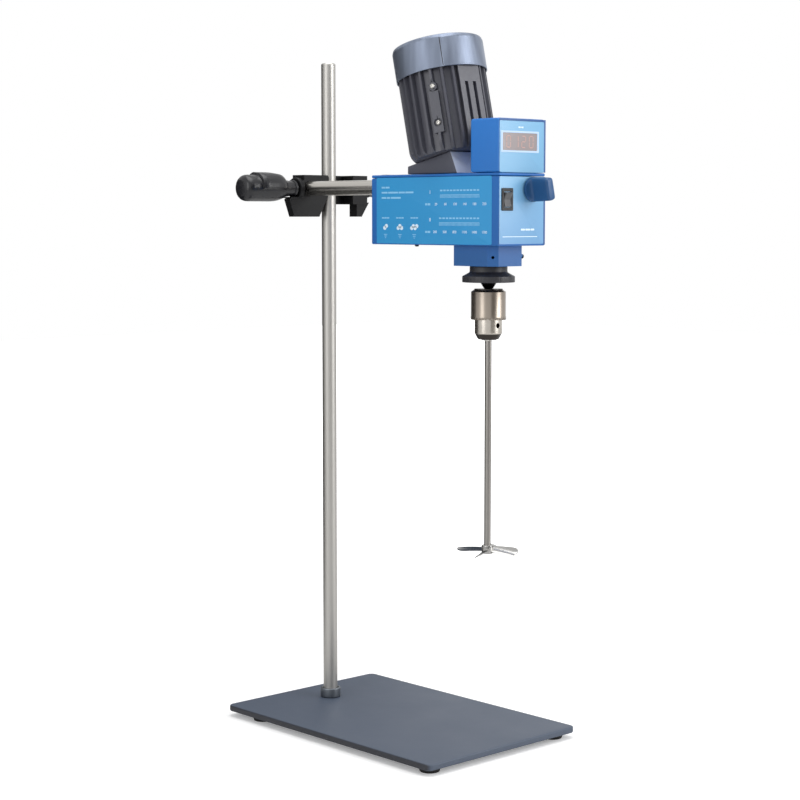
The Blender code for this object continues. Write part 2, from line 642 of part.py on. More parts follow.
def build_display():
    head = stage["head"]
    half = HEAD_WIDTH / 2
    back = HEAD_FRONT + DISPLAY_DEPTH
    low = HEAD_TOP + GAP
    shell = place("display_housing", block((-half, HEAD_FRONT, low), (half, back, DISPLAY_TOP)), blue_coat(), under=head,
                  round_piece=False)
    soften(shell, 2 * HEAD_EDGE, 2)
    wall = HEAD_WALL
    cut(shell, block((-half + wall, HEAD_FRONT - wall, low - wall), (half - wall, back - wall, DISPLAY_TOP - wall)))
    side = half - wall - GAP
    panel = block((-side, HEAD_FRONT, low), (side, HEAD_FRONT + PANEL_THICK, DISPLAY_TOP - wall - GAP))
    panel = place("display_panel", panel, light_blue(), under=head, round_piece=False)
    wide = WINDOW_WIDTH / 2
    tall = WINDOW_HEIGHT / 2
    mid = (WINDOW_X, HEAD_FRONT, WINDOW_Z)
    cut(panel, block((-wide - GAP, -MM, -tall - GAP), (wide + GAP, PANEL_THICK + MM, tall + GAP)), mid)
    bezel = block((-wide - BEZEL, -BEZEL_PROUD, -tall - BEZEL), (wide + BEZEL, -GAP, tall + BEZEL))
    bezel = place("window_bezel", bezel, paint("pale_bezel", (0.7, 0.72, 0.75), 0.4), mid, under=head, round_piece=False)
    cut(bezel, block((-wide + GAP, -MM, -tall + GAP), (wide - GAP, MM, tall - GAP)))
    lens = block((-wide, GAP, -tall), (wide, PANEL_THICK, tall))
    place("display_window", lens, glass_red(), mid, under=head, round_piece=False)
    depth = PANEL_THICK + GAP
    board = block((-half + wall + 1 * MM - WINDOW_X, depth + 7.3 * MM, -tall - 9 * MM),
                  (half - wall - 1 * MM - WINDOW_X, depth + 8.9 * MM, tall + 9 * MM))
    board = place("display_board", board, board_green(), mid, under=head, round_piece=False)
    join(board, block((-wide + 2 * MM, depth, -tall + 1 * MM), (wide - 2 * MM, depth + 8 * MM, tall - 1 * MM)))


def build_switch():
    """A rocker switch: a frame in the panel and a rocker on pins across it."""
    head = stage["head"]
    wide = SWITCH_WIDTH / 2
    tall = SWITCH_HEIGHT / 2
    mid = (SWITCH_X, HEAD_FRONT, SWITCH_Z)
    rim = block((-wide, -SWITCH_PROUD, -tall), (wide, -GAP, tall))
    frame = place("switch_frame", rim, black_plastic(), mid, under=head, round_piece=False)
    soften(frame, 0.5 * MM, 1)
    inner_w = wide - SWITCH_RIM
    inner_t = tall - SWITCH_RIM
    join(frame, block((-inner_w, -MM, -inner_t), (inner_w, SWITCH_DEPTH, inner_t)))
    pit = 1.2 * MM
    cut(frame, block((-inner_w + pit, -4 * MM, -inner_t + pit), (inner_w - pit, SWITCH_DEPTH - 2 * MM, inner_t - pit)))
    rock_w = inner_w - pit - GAP
    rock_t = inner_t - pit - 2 * GAP
    bow = [(-0.9 * MM, 0), (-2.2 * MM, rock_t * 0.55), (-3.4 * MM, rock_t * 0.93), (-0.5 * MM, rock_t)]
    bow += [(4 * MM, rock_t * 0.5), (6 * MM, 0), (4 * MM, -rock_t * 0.5), (-0.5 * MM, -rock_t)]
    bow += [(-3.4 * MM, -rock_t * 0.93), (-2.2 * MM, -rock_t * 0.55)]
    pivot = empty("rocker_pivot", (SWITCH_X, HEAD_FRONT, SWITCH_Z), (SWITCH_ROCK, 0, 0), head)
    place("switch_rocker", prism(bow, -rock_w, rock_w, "X"), black_plastic(), under=pivot, round_piece=False)


# Gear case and drive train
def gear_mesh(teeth, face, first):
    """A spur gear with a tooth centred on the angle first; slim teeth leave room for the mesh."""
    pitch = math.pi / teeth
    root = (teeth / 2 - 1.2) * TOOTH_MODULE
    tip = (teeth / 2 + 0.85) * TOOTH_MODULE
    flank = ((root, -0.6), (tip, -0.2), (tip, 0.2), (root, 0.6))
    outline = []
    for k in range(teeth):
        for radius, share in flank:
            angle = first + (2 * k + share) * pitch
            outline.append((radius * math.cos(angle), radius * math.sin(angle)))
    return prism(outline, 0, face)


def build_gear_case():
    head = stage["head"]
    quarter = math.pi / 2
    outline = rounded(CASE_WIDTH, CASE_LENGTH, CASE_CORNER, (0, CASE_SHIFT), 1)
    front = CASE_SHIFT - CASE_LENGTH / 2
    top = HEAD_FLOOR - GAP - CASE_FLOOR
    case = place("gear_case", prism(outline, 0, top), blue_coat(), (0, SPINDLE_Y, CASE_FLOOR), under=head, round_piece=False)
    join(case, rod(NECK_RADIUS, -NECK_LENGTH, CASE_WALL / 2, sides=24))
    inside = (CASE_WIDTH - 2 * CASE_WALL, CASE_LENGTH - 2 * CASE_WALL)
    cavity = rounded(*inside, CASE_CORNER - CASE_WALL, (0, CASE_SHIFT), 1)
    cut(case, prism(cavity, CASE_WALL, top + MM))
    seat = PLATE_BEARING + 2 * MM + GAP
    cut(case, rod(seat, -NECK_LENGTH - MM, CASE_WALL + MM, sides=24))
    hole = rod(CASE_HOLE, -2 * CASE_WALL, 2 * CASE_WALL, sides=12)
    cut(case, hole, (-CASE_WIDTH / 2 + CASE_CORNER / 2, front + CASE_CORNER / 2, CASE_HOLE_UP), (quarter, 0, -quarter / 2))
    screw = rod(CASE_SCREW, -2 * CASE_WALL / 3, CASE_SCREW_PROUD, 0.4 * MM, 16)
    join(case, screw, (CASE_WIDTH / 2, front + CASE_CORNER + CASE_SCREW, CASE_HEIGHT / 2), (0, quarter, 0))
    at = (0, SPINDLE_Y, CASE_FLOOR)
    low = tube(seat - GAP, SPINDLE_RADIUS + GAP, -NECK_LENGTH + 1 * MM, CASE_WALL - 1 * MM, sides=24)
    place("spindle_bearing_lower", low, steel(), at, under=head)

    half = HEAD_WIDTH / 2 - HEAD_WALL - 2 * MM
    middle = (SPINDLE_Y + INPUT_Y) / 2
    span = GEAR_CENTRES + 2 * PLATE_BEARING + 10 * MM
    plate = prism(rounded(2 * half, span, 4 * MM, (0, middle), 2), PLATE_Z, PLATE_Z + PLATE_HEIGHT)
    plate = place("bearing_plate", plate, steel(), under=head, round_piece=False)
    for name, y, bore in (("spindle_bearing_upper", SPINDLE_Y, SPINDLE_RADIUS), ("input_bearing", INPUT_Y, INPUT_RADIUS)):
        cut(plate, rod(PLATE_BEARING + GAP, PLATE_Z - MM, PLATE_Z + PLATE_HEIGHT + MM, sides=24), (0, y, 0))
        ring = tube(PLATE_BEARING, bore + GAP, 0, PLATE_HEIGHT, sides=24)
        place(name, ring, steel(), (0, y, PLATE_Z), under=head)

    gear_z = CASE_FLOOR + CASE_WALL + GEAR_LIFT
    input_frame = stage["input"] = empty("input_axis", (0, INPUT_Y, 0), under=head)
    low = CASE_FLOOR + CASE_WALL + GAP
    shaft = place("pinion_shaft", rod(INPUT_RADIUS, low, CARRIER_TOP, 0.5 * MM, 20), steel(), under=input_frame)
    join(shaft, gear_mesh(PINION_TEETH, GEAR_FACE, -quarter + math.pi / PINION_TEETH), (0, 0, gear_z))
    hub = CARRIER_TOP - CARRIER_HEIGHT
    cup = [
        (INPUT_RADIUS + GAP, hub), (INPUT_RADIUS + 5 * MM, hub), (INPUT_RADIUS + 5 * MM, CARRIER_TOP - 5 * MM),
        (FRICTION_RADIUS - 1.5 * MM, CARRIER_TOP - 4 * MM), (FRICTION_RADIUS - 1.5 * MM, CARRIER_TOP),
        (INPUT_RADIUS + GAP, CARRIER_TOP),
    ]
    place("friction_carrier", lathe(cup, 28, True), steel(), under=input_frame)
    lining = tube(FRICTION_RADIUS, FRICTION_RADIUS - FRICTION_WIDTH, CARRIER_TOP + GAP, LINE_Z - GAP, 0.5 * MM, 32)
    place("friction_ring", lining, rubber(), under=input_frame)

    spindle = stage["spindle"] = empty("spindle_axis", (0, SPINDLE_Y, 0), under=head)
    arbor = CHUCK_TOP - ARBOR_LENGTH
    shoulder = CHUCK_TOP + GAP
    body = [
        (0, arbor), (ARBOR_RADIUS - 0.5 * MM, arbor), (ARBOR_RADIUS, arbor + 1 * MM), (ARBOR_RADIUS, shoulder),
        (SHOULDER_RADIUS * 0.56, shoulder), (SHOULDER_RADIUS, shoulder + SHOULDER_HEIGHT),
        (SPINDLE_RADIUS, shoulder + SHOULDER_HEIGHT + GAP), (SPINDLE_RADIUS, PLATE_Z + PLATE_HEIGHT + 2 * MM),
        (0, PLATE_Z + PLATE_HEIGHT + 2 * MM),
    ]
    place("output_spindle", lathe(body, 28), steel(), under=spindle)
    wheel = gear_mesh(WHEEL_TEETH, GEAR_FACE, quarter)
    wheel = place("output_gear", wheel, steel(), (0, 0, gear_z), under=spindle, round_piece=False)
    cut(wheel, rod(SPINDLE_RADIUS + GAP, -MM, GEAR_FACE + MM, sides=20))

    selector = empty("selector_axis", (0, SPINDLE_Y, SELECTOR_TOP), under=head)
    rim = -NECK_LENGTH - 2 * MM
    rows = [
        (NECK_RADIUS + RUN, rim), (SELECTOR_RADIUS, rim), (SELECTOR_RADIUS, rim + SELECTOR_RIM),
        (SELECTOR_COLLAR + 1 * MM, rim + SELECTOR_RIM + SELECTOR_SLOPE), (SELECTOR_COLLAR, rim + SELECTOR_RIM + SELECTOR_SLOPE + MM),
        (SELECTOR_COLLAR, 0), (NECK_RADIUS + RUN, 0),
    ]
    place("range_selector", lathe(rows, 40, True), black_plastic(), under=selector)


# Chuck, shaft and propeller
def sleeve_mesh(outer, inner, length):
    """A turned sleeve with a bevel at its top and a ring of pointed teeth on its lower edge."""
    sides = 2 * SLEEVE_TEETH
    bm = bmesh.new()
    rows = [
        (inner, length, 0), (outer - 2.4 * MM, length, 0), (outer - 0.4 * MM, length - 2.4 * MM, 0),
        (outer, 4 * MM, 0), (outer, TOOTH_DEPTH, TOOTH_DEPTH),
        (inner, TOOTH_DEPTH, TOOTH_DEPTH),
    ]
    rings = []
    for radius, z, notch in rows:
        ring = []
        for k in range(sides):
            angle = 2 * math.pi * k / sides
            ring.append(bm.verts.new((radius * math.cos(angle), radius * math.sin(angle), z - notch * (k % 2))))
        rings.append(ring)
    for low, high in zip(rings, rings[1:] + rings[:1]):
        for k in range(sides):
            j = (k + 1) % sides
            bm.faces.new((low[k], low[j], high[j], high[k]))
    bmesh.ops.triangulate(bm, faces=bm.faces)
    return finished(bm)


def build_chuck():
    spindle = stage["spindle"]
    quarter = math.pi / 2
    top = CHUCK_TOP - NOSE_END
    nose = [
        (0, 0), (NOSE_TIP_RADIUS, 0), (NOSE_TIP_RADIUS + 1.2 * MM, 0.8 * MM), (NOSE_RADIUS, 6.5 * MM), (NOSE_RADIUS, top - 1.5 * MM),
        (NOSE_RADIUS - 1.5 * MM, top), (0, top),
    ]
    body = place("chuck_body", lathe(nose, 28), steel(), (0, 0, NOSE_END), under=spindle)
    cut(body, rod(CHUCK_CAPACITY, -MM, STIR_GRIP + 1 * MM, sides=20))
    cut(body, rod(ARBOR_RADIUS + GAP, top - ARBOR_LENGTH - 1 * MM, top + MM, sides=20))
    for k in range(3):
        angle = quarter + 2 * math.pi * k / 3
        frame = empty(f"jaw_axis_{k + 1}", (0, 0, NOSE_END), (0, 0, angle), spindle)
        tilt = (0, JAW_ANGLE, 0)
        at = (JAW_SEAT, 0, 0)
        bore = rod(JAW_RADIUS + RUN, -8 * MM, JAW_LENGTH + JAW_TRAVEL + 0.5 * MM, sides=12)
        cut(body, bore, at, tilt, frame)
        jaw = place(f"chuck_jaw_{k + 1}", rod(JAW_RADIUS, -1 * MM, JAW_LENGTH, 0.5 * MM, 12), steel(), at, tilt, frame)
        face = STIR_RADIUS + GAP
        wide = 2 * NOSE_RADIUS
        cut(jaw, block((-wide, -wide, -wide), (face, wide, top)), under=frame)
        hole = rod(KEY_HOLE, NOSE_RADIUS - 4 * MM, NOSE_RADIUS + 4 * MM, sides=12)
        cut(body, hole, (0, 0, KEY_HOLE_UP), (0, -quarter, 0), frame)
    for step in body.modifiers:
        step.solver = "MANIFOLD"
    sleeve = sleeve_mesh(SLEEVE_RADIUS, NOSE_RADIUS + RUN, SLEEVE_LENGTH)
    place("chuck_sleeve", sleeve, steel(), (0, 0, CHUCK_TOP - SLEEVE_LENGTH), under=spindle)
    high = NOSE_END + STIR_GRIP
    low = PROP_Z - PROP_HUB_LENGTH / 2 + 1 * MM
    place("stirring_shaft", rod(STIR_RADIUS, low, high, 0.5 * MM, 24), steel(), under=spindle)
    build_propeller(spindle)


def build_propeller(spindle):
    half = PROP_HUB_LENGTH / 2
    c = 1 * MM
    hub = [(0, -half), (PROP_HUB - c, -half), (PROP_HUB, -half + c), (PROP_HUB, half - c), (PROP_HUB - c, half), (0, half)]
    wheel = place("propeller", lathe(hub, 24), steel(), (0, 0, PROP_Z), under=spindle)
    start = PROP_HUB - 2.5 * MM
    reach = PROP_RADIUS
    blade = [
        (start, -BLADE_ROOT * 0.8), (start + 6 * MM, -BLADE_ROOT), (reach - 7 * MM, -BLADE_TIP), (reach - 1.5 * MM, -BLADE_TIP * 0.5),
        (reach, 0.5 * MM), (reach - 3 * MM, BLADE_TIP * 0.6), (reach - 9 * MM, BLADE_TIP * 0.85), (start, BLADE_ROOT * 0.8),
    ]
    for k in range(PROP_BLADES):
        arm = empty(f"blade_axis_{k + 1}", turn=(0, 0, 2 * math.pi * (k + 0.35) / PROP_BLADES), under=wheel)
        join(wheel, prism(blade, -BLADE_THICK / 2, BLADE_THICK / 2), turn=(PROP_PITCH, 0, 0), under=arm)
    cut(wheel, rod(STIR_RADIUS + GAP, -half + 1 * MM - GAP, half + MM, sides=24))


# Motor on its carriage
def finned_outline():
    """A circle with evenly spaced square fins, counted round its edge."""
    points = []
    pitch = 2 * math.pi / FIN_COUNT
    for k in range(FIN_COUNT):
        for radius, share in ((MOTOR_CORE, -1.25), (MOTOR_RADIUS, -0.8), (MOTOR_RADIUS, 0.8), (MOTOR_CORE, 1.25)):
            angle = (k + share * FIN_SHARE / 2) * pitch
            points.append((radius * math.cos(angle), radius * math.sin(angle)))
    return points


def build_carriage():
    head = stage["head"]
    slope = math.tan(LEAN)
    lift = GAP / math.cos(LEAN)

    def deck(y):
        return MOTOR_Z - (y - MOTOR_Y) * slope - lift

    back = MOTOR_Y + WEDGE_BACK
    front = MOTOR_Y - WEDGE_FRONT
    low = HEAD_TOP + GAP
    side = [(back, low), (back, deck(back)), (front, deck(front)), (front - WEDGE_FLARE, low)]
    wedge = place("motor_carriage", prism(side, -WEDGE_HALF, WEDGE_HALF, "X"), anthracite(), under=head, round_piece=False)
    soften(wedge, 0.8 * MM, 1)
    neck = rounded(2 * NECK_HALF, 2 * NECK_REACH, 3.6 * MM, (0, NECK_Y), 2)
    bottom = HEAD_TOP - TOP_PLATE_THICK - RUN / 2
    join(wedge, prism(neck, bottom, low + 2 * MM))
    motor = stage["motor"] = empty("motor_axis", (0, MOTOR_Y, MOTOR_Z), (-LEAN, 0, 0), head)
    deep = (MOTOR_Z - bottom) / math.cos(LEAN) + 8 * MM
    cut(wedge, rod(BEARING_RADIUS - 3 * MM, -deep, 8 * MM, sides=24), under=motor)

    plate_top = bottom - GAP
    plate_low = plate_top - CARRIAGE_PLATE
    nut_back = INPUT_Y - GEAR_CENTRES + 2 * NUT_HALF - 5 * MM
    plate_front = nut_back - NUT_LENGTH
    rear = NECK_Y + PLATE_REACH
    outline = [(-PLATE_HALF, rear), (-PLATE_HALF, plate_front), (PLATE_HALF, plate_front), (PLATE_HALF, rear)]
    plate = place("carriage_plate", prism(outline, plate_low, plate_top), steel(), under=head, round_piece=False)
    cut(plate, rod(BEARING_RADIUS - 3 * MM, -deep, 8 * MM, sides=24), under=motor)
    nut = block((-NUT_HALF, -NUT_LENGTH, -NUT_HALF + MM), (NUT_HALF, 0, plate_low + MM - SPEED_Z))
    join(plate, nut, (SPEED_X, nut_back, SPEED_Z))
    cut(plate, rod(SCREW_CORE + GAP, -20 * MM, 20 * MM, sides=20), (SPEED_X, nut_back, SPEED_Z), (math.pi / 2, 0, 0))


def add_pads(body, motor):
    """The rating plate's narrow flat, and a wide flat above two slots; each block faces along its own +X."""
    deep = MOTOR_CORE - 1.5 * MM
    low = SHIELD_LENGTH + PLATE_PAD_INSET
    flat = block((deep, -PLATE_PAD_HALF, low), (PLATE_PAD_FLAT, PLATE_PAD_HALF, low + PLATE_PAD_LENGTH))
    join(body, flat, turn=(0, 0, PLATE_PAD_TURN), under=motor)
    wide = block((deep - MM, -WIDE_PAD_HALF, low), (WIDE_PAD_FLAT, WIDE_PAD_HALF, MOTOR_LENGTH - 2 * COWL_LAP))
    join(body, wide, turn=(0, 0, WIDE_PAD_TURN), under=motor)
    for side in (-1, 1):
        y = side * SLOT_AT
        slot = block((MOTOR_CORE, y - SLOT_HALF, 0), (MOTOR_RADIUS + MM, y + SLOT_HALF, MOTOR_LENGTH - WIDE_PAD_TOP))
        cut(body, slot, turn=(0, 0, WIDE_PAD_TURN), under=motor)


def build_motor():
    motor = stage["motor"]
    envelope = [
        (0, 0), (MOTOR_RADIUS - 8 * MM, 0), (MOTOR_RADIUS - 1.6 * MM, 4.5 * MM),
        (MOTOR_RADIUS + MM, SHIELD_LENGTH), (MOTOR_RADIUS + MM, MOTOR_LENGTH), (0, MOTOR_LENGTH),
    ]
    body = place("motor_housing", prism(finned_outline(), 0, MOTOR_LENGTH), motor_grey(), under=motor, round_piece=False)
    boolean(body, helper(lathe(envelope, 40), under=motor), "INTERSECT")
    add_pads(body, motor)
    cut(body, rod(MOTOR_BORE, SHIELD_LENGTH, MOTOR_LENGTH + MM, sides=32), under=motor)
    cut(body, rod(BEARING_RADIUS + GAP, SHIELD_LENGTH - BEARING_LENGTH, SHIELD_LENGTH + MM, sides=24), under=motor)
    cut(body, rod(BEARING_RADIUS - 3 * MM, -MM, SHIELD_LENGTH, sides=24), under=motor)
    ring = tube(BEARING_RADIUS, SHAFT_RADIUS + GAP, 0, BEARING_LENGTH - GAP, sides=24)
    place("motor_bearing_lower", ring, steel(), (0, 0, SHIELD_LENGTH - BEARING_LENGTH + GAP), under=motor)

    end = MOTOR_LENGTH - COWL_LAP
    seat = end - SHIELD_BOSS
    stack = SHIELD_LENGTH + END_WINDING
    stack_top = seat - SHIELD_BOSS - 4 * ROTOR_PROUD
    stator = tube(MOTOR_BORE - GAP, ROTOR_RADIUS + AIR_GAP, stack, stack_top, sides=32)
    place("stator_core", stator, paint("lamination_steel", (0.25, 0.22, 0.2), 0.5, 0.8), under=motor)
    shield = [
        (BEARING_RADIUS - 3 * MM, end), (MOTOR_BORE - GAP, end), (MOTOR_BORE - GAP, seat),
        (BEARING_RADIUS + 4 * MM, seat - SHIELD_BOSS), (BEARING_RADIUS + GAP, seat - SHIELD_BOSS), (BEARING_RADIUS + GAP, end - 2 * MM),
        (BEARING_RADIUS - 3 * MM, end - 2 * MM),
    ]
    place("motor_end_shield", lathe(shield, 32, True), motor_grey(), under=motor)
    ring = tube(BEARING_RADIUS, SHAFT_RADIUS + GAP, seat - SHIELD_BOSS, end - 2 * MM - GAP, sides=24)
    place("motor_bearing_upper", ring, steel(), under=motor)

    mouth = MOTOR_LENGTH - COWL_LAP
    crown = MOTOR_LENGTH + COWL_LENGTH
    outer = COWL_RADIUS
    inner = COWL_RADIUS - COWL_WALL
    cowl = [
        (inner, mouth), (outer, mouth), (outer, crown - 3 * MM), (outer - 1 * MM, crown - 0.9 * MM), (outer - 3.2 * MM, crown),
        (0, crown), (0, crown - COWL_WALL), (inner - 2.2 * MM, crown - COWL_WALL), (inner, crown - 3.4 * MM),
    ]
    cover = place("fan_cowl", lathe_cup(cowl, 40), cowl_grey(), under=motor)
    for k in range(VENT_COUNT):
        angle = 2 * math.pi * (k + 0.3) / VENT_COUNT
        at = (VENT_CIRCLE * math.cos(angle), VENT_CIRCLE * math.sin(angle), crown)
        cut(cover, rod(VENT_RADIUS, -3 * MM, 3 * MM, sides=10), at, under=motor)

    apex = -(MOTOR_Z - LINE_Z) / math.cos(LEAN)
    fan_low = MOTOR_LENGTH + 5 * MM
    fan_high = crown - 7 * MM
    rise = CONE_RADIUS * math.tan(LEAN)
    shaft = rod(SHAFT_RADIUS, apex + rise * 0.6 + CONE_RIM, fan_high + 2 * MM, 0.6 * MM, 24)
    place("motor_shaft", shaft, steel(), under=motor)
    core = tube(ROTOR_RADIUS, SHAFT_RADIUS + GAP, stack - ROTOR_PROUD, stack_top + ROTOR_PROUD, sides=32)
    place("rotor_core", core, paint("rotor_iron", (0.3, 0.3, 0.32), 0.4, 0.9), under=motor)
    fan = place("cooling_fan", rod(FAN_HUB, fan_low, fan_high, 0.8 * MM, 24), black_plastic(), under=motor)
    for k in range(FAN_BLADES):
        blade = block((FAN_HUB - 3 * MM, -0.9 * MM, fan_low + 1 * MM), (inner - 6 * MM, 0.9 * MM, fan_high - 1 * MM))
        join(fan, blade, turn=(0, 0, 2 * math.pi * k / FAN_BLADES), under=motor)
    cut(fan, rod(SHAFT_RADIUS + GAP, fan_low - MM, fan_high + MM, sides=20), under=motor)
    wheel = [
        (0, 0), (CONE_RADIUS, rise), (CONE_RADIUS, rise + CONE_RIM), (BEARING_RADIUS - 4 * MM, rise + CONE_RIM + MM),
        (BEARING_RADIUS - 4 * MM, rise + CONE_RIM + 4 * MM), (0, rise + CONE_RIM + 4 * MM),
    ]
    cone = place("friction_cone", lathe(wheel, 40), steel(), (0, 0, apex), under=motor)
    cut(cone, rod(SHAFT_RADIUS + GAP, rise * 0.6 + CONE_RIM - GAP, rise + CONE_RIM + 5 * MM, sides=24))


def lathe_cup(profile, sides):
    """A turned cup: the outer and inner walls both end on the axis, and the mouth joins them."""
    bm = bmesh.new()
    rows = []
    for radius, z in profile:
        if radius < 1e-9:
            rows.append([bm.verts.new((0, 0, z))])
            continue
        rows.append([
            bm.verts.new((radius * math.cos(2 * math.pi * k / sides), radius * math.sin(2 * math.pi * k / sides), z))
            for k in range(sides)
        ])
    for low, high in zip(rows, rows[1:] + rows[:1]):
        if len(low) == len(high) == 1:
            continue
        for k in range(sides):
            j = (k + 1) % sides
            corners = [low[k % len(low)], low[j % len(low)], high[j % len(high)], high[k % len(high)]]
            corners = [c for n, c in enumerate(corners) if c not in corners[:n]]
            bm.faces.new(corners)
    return finished(bm)


# Speed control
def build_speed_control():
    """The knob and its screw turn about an axis along Y; local Z points out of the front."""
    head = stage["head"]
    axis = stage["speed"] = empty("speed_axis", (SPEED_X, HEAD_FRONT, SPEED_Z), (math.pi / 2, 0, 0), head)
    flange = BUSH_RADIUS + 2.5 * MM
    bush = [
        (SCREW_CORE + GAP, -PANEL_THICK - 5 * MM), (flange, -PANEL_THICK - 5 * MM), (flange, -PANEL_THICK - GAP),
        (BUSH_RADIUS, -PANEL_THICK - GAP), (BUSH_RADIUS, KNOB_GAP - GAP), (SCREW_CORE + GAP, KNOB_GAP - GAP),
    ]
    place("speed_bush", lathe(bush, 24, True), bronze(), under=axis)
    screw = rod(SCREW_CORE, -SCREW_LENGTH, KNOB_GAP + SPEED_KNOB_LENGTH * 0.6, 0.4 * MM, 20)
    place("speed_screw", screw, steel(), under=axis)
    radius = SPEED_KNOB_RADIUS
    long = SPEED_KNOB_LENGTH
    turned = [
        (0, 0), (radius - 0.6 * MM, 0), (radius, 0.6 * MM), (radius, SPEED_SKIRT), (radius - 1 * MM, long - 2 * MM),
        (radius - 3 * MM, long), (0, long),
    ]
    knob = place("speed_knob", lathe(turned, 32), knob_blue(), (0, 0, KNOB_GAP), under=axis)
    for side in (-1, 1):
        x = sorted((side * SPEED_BAR_HALF, side * 2 * radius))
        flank = block((x[0], -2 * radius, SPEED_SKIRT), (x[1], 2 * radius, long + MM))
        cut(knob, flank, turn=(0, 0, SPEED_BAR_TURN))
    cut(knob, rod(SCREW_CORE + GAP, -MM, long * 0.6 + GAP, sides=20))


clear_scene()
stage_root()
build_stand()
flank = build_boss_head()
build_clamp_screw("arm_clamp", -1, ARM_OFFSET + ARM_RADIUS, ARM_OFFSET + ARM_RADIUS + BOSS_WALL)
build_clamp_screw("rod_clamp", 1, ROD_RADIUS, flank)
build_head()
build_display()
build_switch()
build_gear_case()
build_chuck()
build_carriage()
build_motor()
build_speed_control()
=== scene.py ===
import json
import math

import bmesh
import bpy
import numpy as np
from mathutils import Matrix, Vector

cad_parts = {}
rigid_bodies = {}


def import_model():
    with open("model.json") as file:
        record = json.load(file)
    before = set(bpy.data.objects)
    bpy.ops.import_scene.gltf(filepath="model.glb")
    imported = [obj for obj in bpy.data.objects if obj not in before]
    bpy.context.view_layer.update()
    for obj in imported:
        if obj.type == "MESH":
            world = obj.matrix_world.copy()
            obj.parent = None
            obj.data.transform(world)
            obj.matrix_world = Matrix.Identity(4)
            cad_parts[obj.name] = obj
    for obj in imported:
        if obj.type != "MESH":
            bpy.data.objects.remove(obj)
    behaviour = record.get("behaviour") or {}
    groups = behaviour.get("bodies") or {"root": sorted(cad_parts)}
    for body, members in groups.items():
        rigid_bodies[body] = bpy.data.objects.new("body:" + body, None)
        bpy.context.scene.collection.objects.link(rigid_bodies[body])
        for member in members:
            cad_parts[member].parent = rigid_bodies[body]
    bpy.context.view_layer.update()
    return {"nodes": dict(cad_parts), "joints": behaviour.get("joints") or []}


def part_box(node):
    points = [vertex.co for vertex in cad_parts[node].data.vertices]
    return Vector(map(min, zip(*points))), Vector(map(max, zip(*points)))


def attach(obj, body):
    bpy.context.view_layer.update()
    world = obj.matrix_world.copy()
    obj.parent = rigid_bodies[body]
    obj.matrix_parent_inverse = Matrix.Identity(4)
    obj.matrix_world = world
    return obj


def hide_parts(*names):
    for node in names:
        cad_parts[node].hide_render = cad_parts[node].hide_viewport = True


# Overhead stirrer on a plate stand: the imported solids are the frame, and the pieces below dress them.
for old in list(bpy.data.objects):
    bpy.data.objects.remove(old)
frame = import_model()
nodes = frame["nodes"]
mm = 0.001
finishes = {}
dressed = set()


# a piece's sizes, written in millimetres and kept in metres
def inMm(**sizes):
    return {name: np.multiply(size, mm).tolist() for name, size in sizes.items()}


# sRGB hex to linear, the only way that colours come into this file
def paint(code):
    parts = np.array([int(code[k:k + 2], 16) for k in (1, 3, 5)]) / 255
    linear = np.where(parts <= 0.04045, parts / 12.92, ((parts + 0.055) / 1.055) ** 2.4)
    return (*linear.tolist(), 1.0)


def linked(name, data):
    made = bpy.data.objects.new(name, data)
    bpy.context.scene.collection.objects.link(made)
    return made


# adds a node, sets its sockets or properties, and links what comes in
def addNode(tree, kind, settings=None, links=None):
    node = tree.nodes.new("ShaderNode" + kind)
    for key, value in (settings or {}).items():
        if isinstance(key, int) or key in node.inputs:
            node.inputs[key].default_value = value
        else:
            setattr(node, key, value)
    for key, source in (links or {}).items():
        tree.links.new(source, node.inputs[key])
    return node


# a new material with its shader's own sockets set; returns its tree, shader and Object coordinates
def startFinish(name, settings):
    finishes[name] = bpy.data.materials.new(name)
    finishes[name].use_nodes = True
    tree = finishes[name].node_tree
    shader = tree.nodes["Principled BSDF"]
    for key, value in settings.items():
        shader.inputs[key].default_value = value
    return tree, shader, addNode(tree, "TexCoord").outputs["Object"]


# a surface from a grid of points: rows along the first index, columns round the second
def surface(name, grid, closeColumns=True, capEnds=True, closeRows=False):
    rows, columns = grid.shape[:2]
    index = np.arange(rows * columns).reshape(rows, columns)
    if closeColumns:
        index = np.hstack([index, index[:, :1]])
    if closeRows:
        index = np.vstack([index, index[:1]])
    corners = [index[:-1, :-1], index[:-1, 1:], index[1:, 1:], index[1:, :-1]]
    faces = np.stack(corners, axis=-1).reshape(-1, 4).tolist()
    if capEnds and not closeRows:
        faces += [index[0, :columns][::-1].tolist(), index[-1, :columns].tolist()]
    mesh = bpy.data.meshes.new(name)
    mesh.from_pydata(grid.reshape(-1, 3).tolist(), [], faces)
    return mesh


def smoothed(mesh, sharpAngle):
    mesh.shade_smooth()
    mesh.set_sharp_from_angle(angle=math.radians(sharpAngle))
    return mesh


# doubles merged and normals turned out, then smooth with sharp edges above an angle
def tidyMesh(mesh, sharpAngle=35):
    work = bmesh.new()
    work.from_mesh(mesh)
    bmesh.ops.remove_doubles(work, verts=work.verts, dist=1e-6)
    bmesh.ops.recalc_face_normals(work, faces=work.faces)
    work.to_mesh(mesh)
    work.free()
    return smoothed(mesh, sharpAngle)


def gridMesh(name, grid, sharp=35, ring=False):
    return tidyMesh(surface(name, grid, closeRows=ring), sharp)


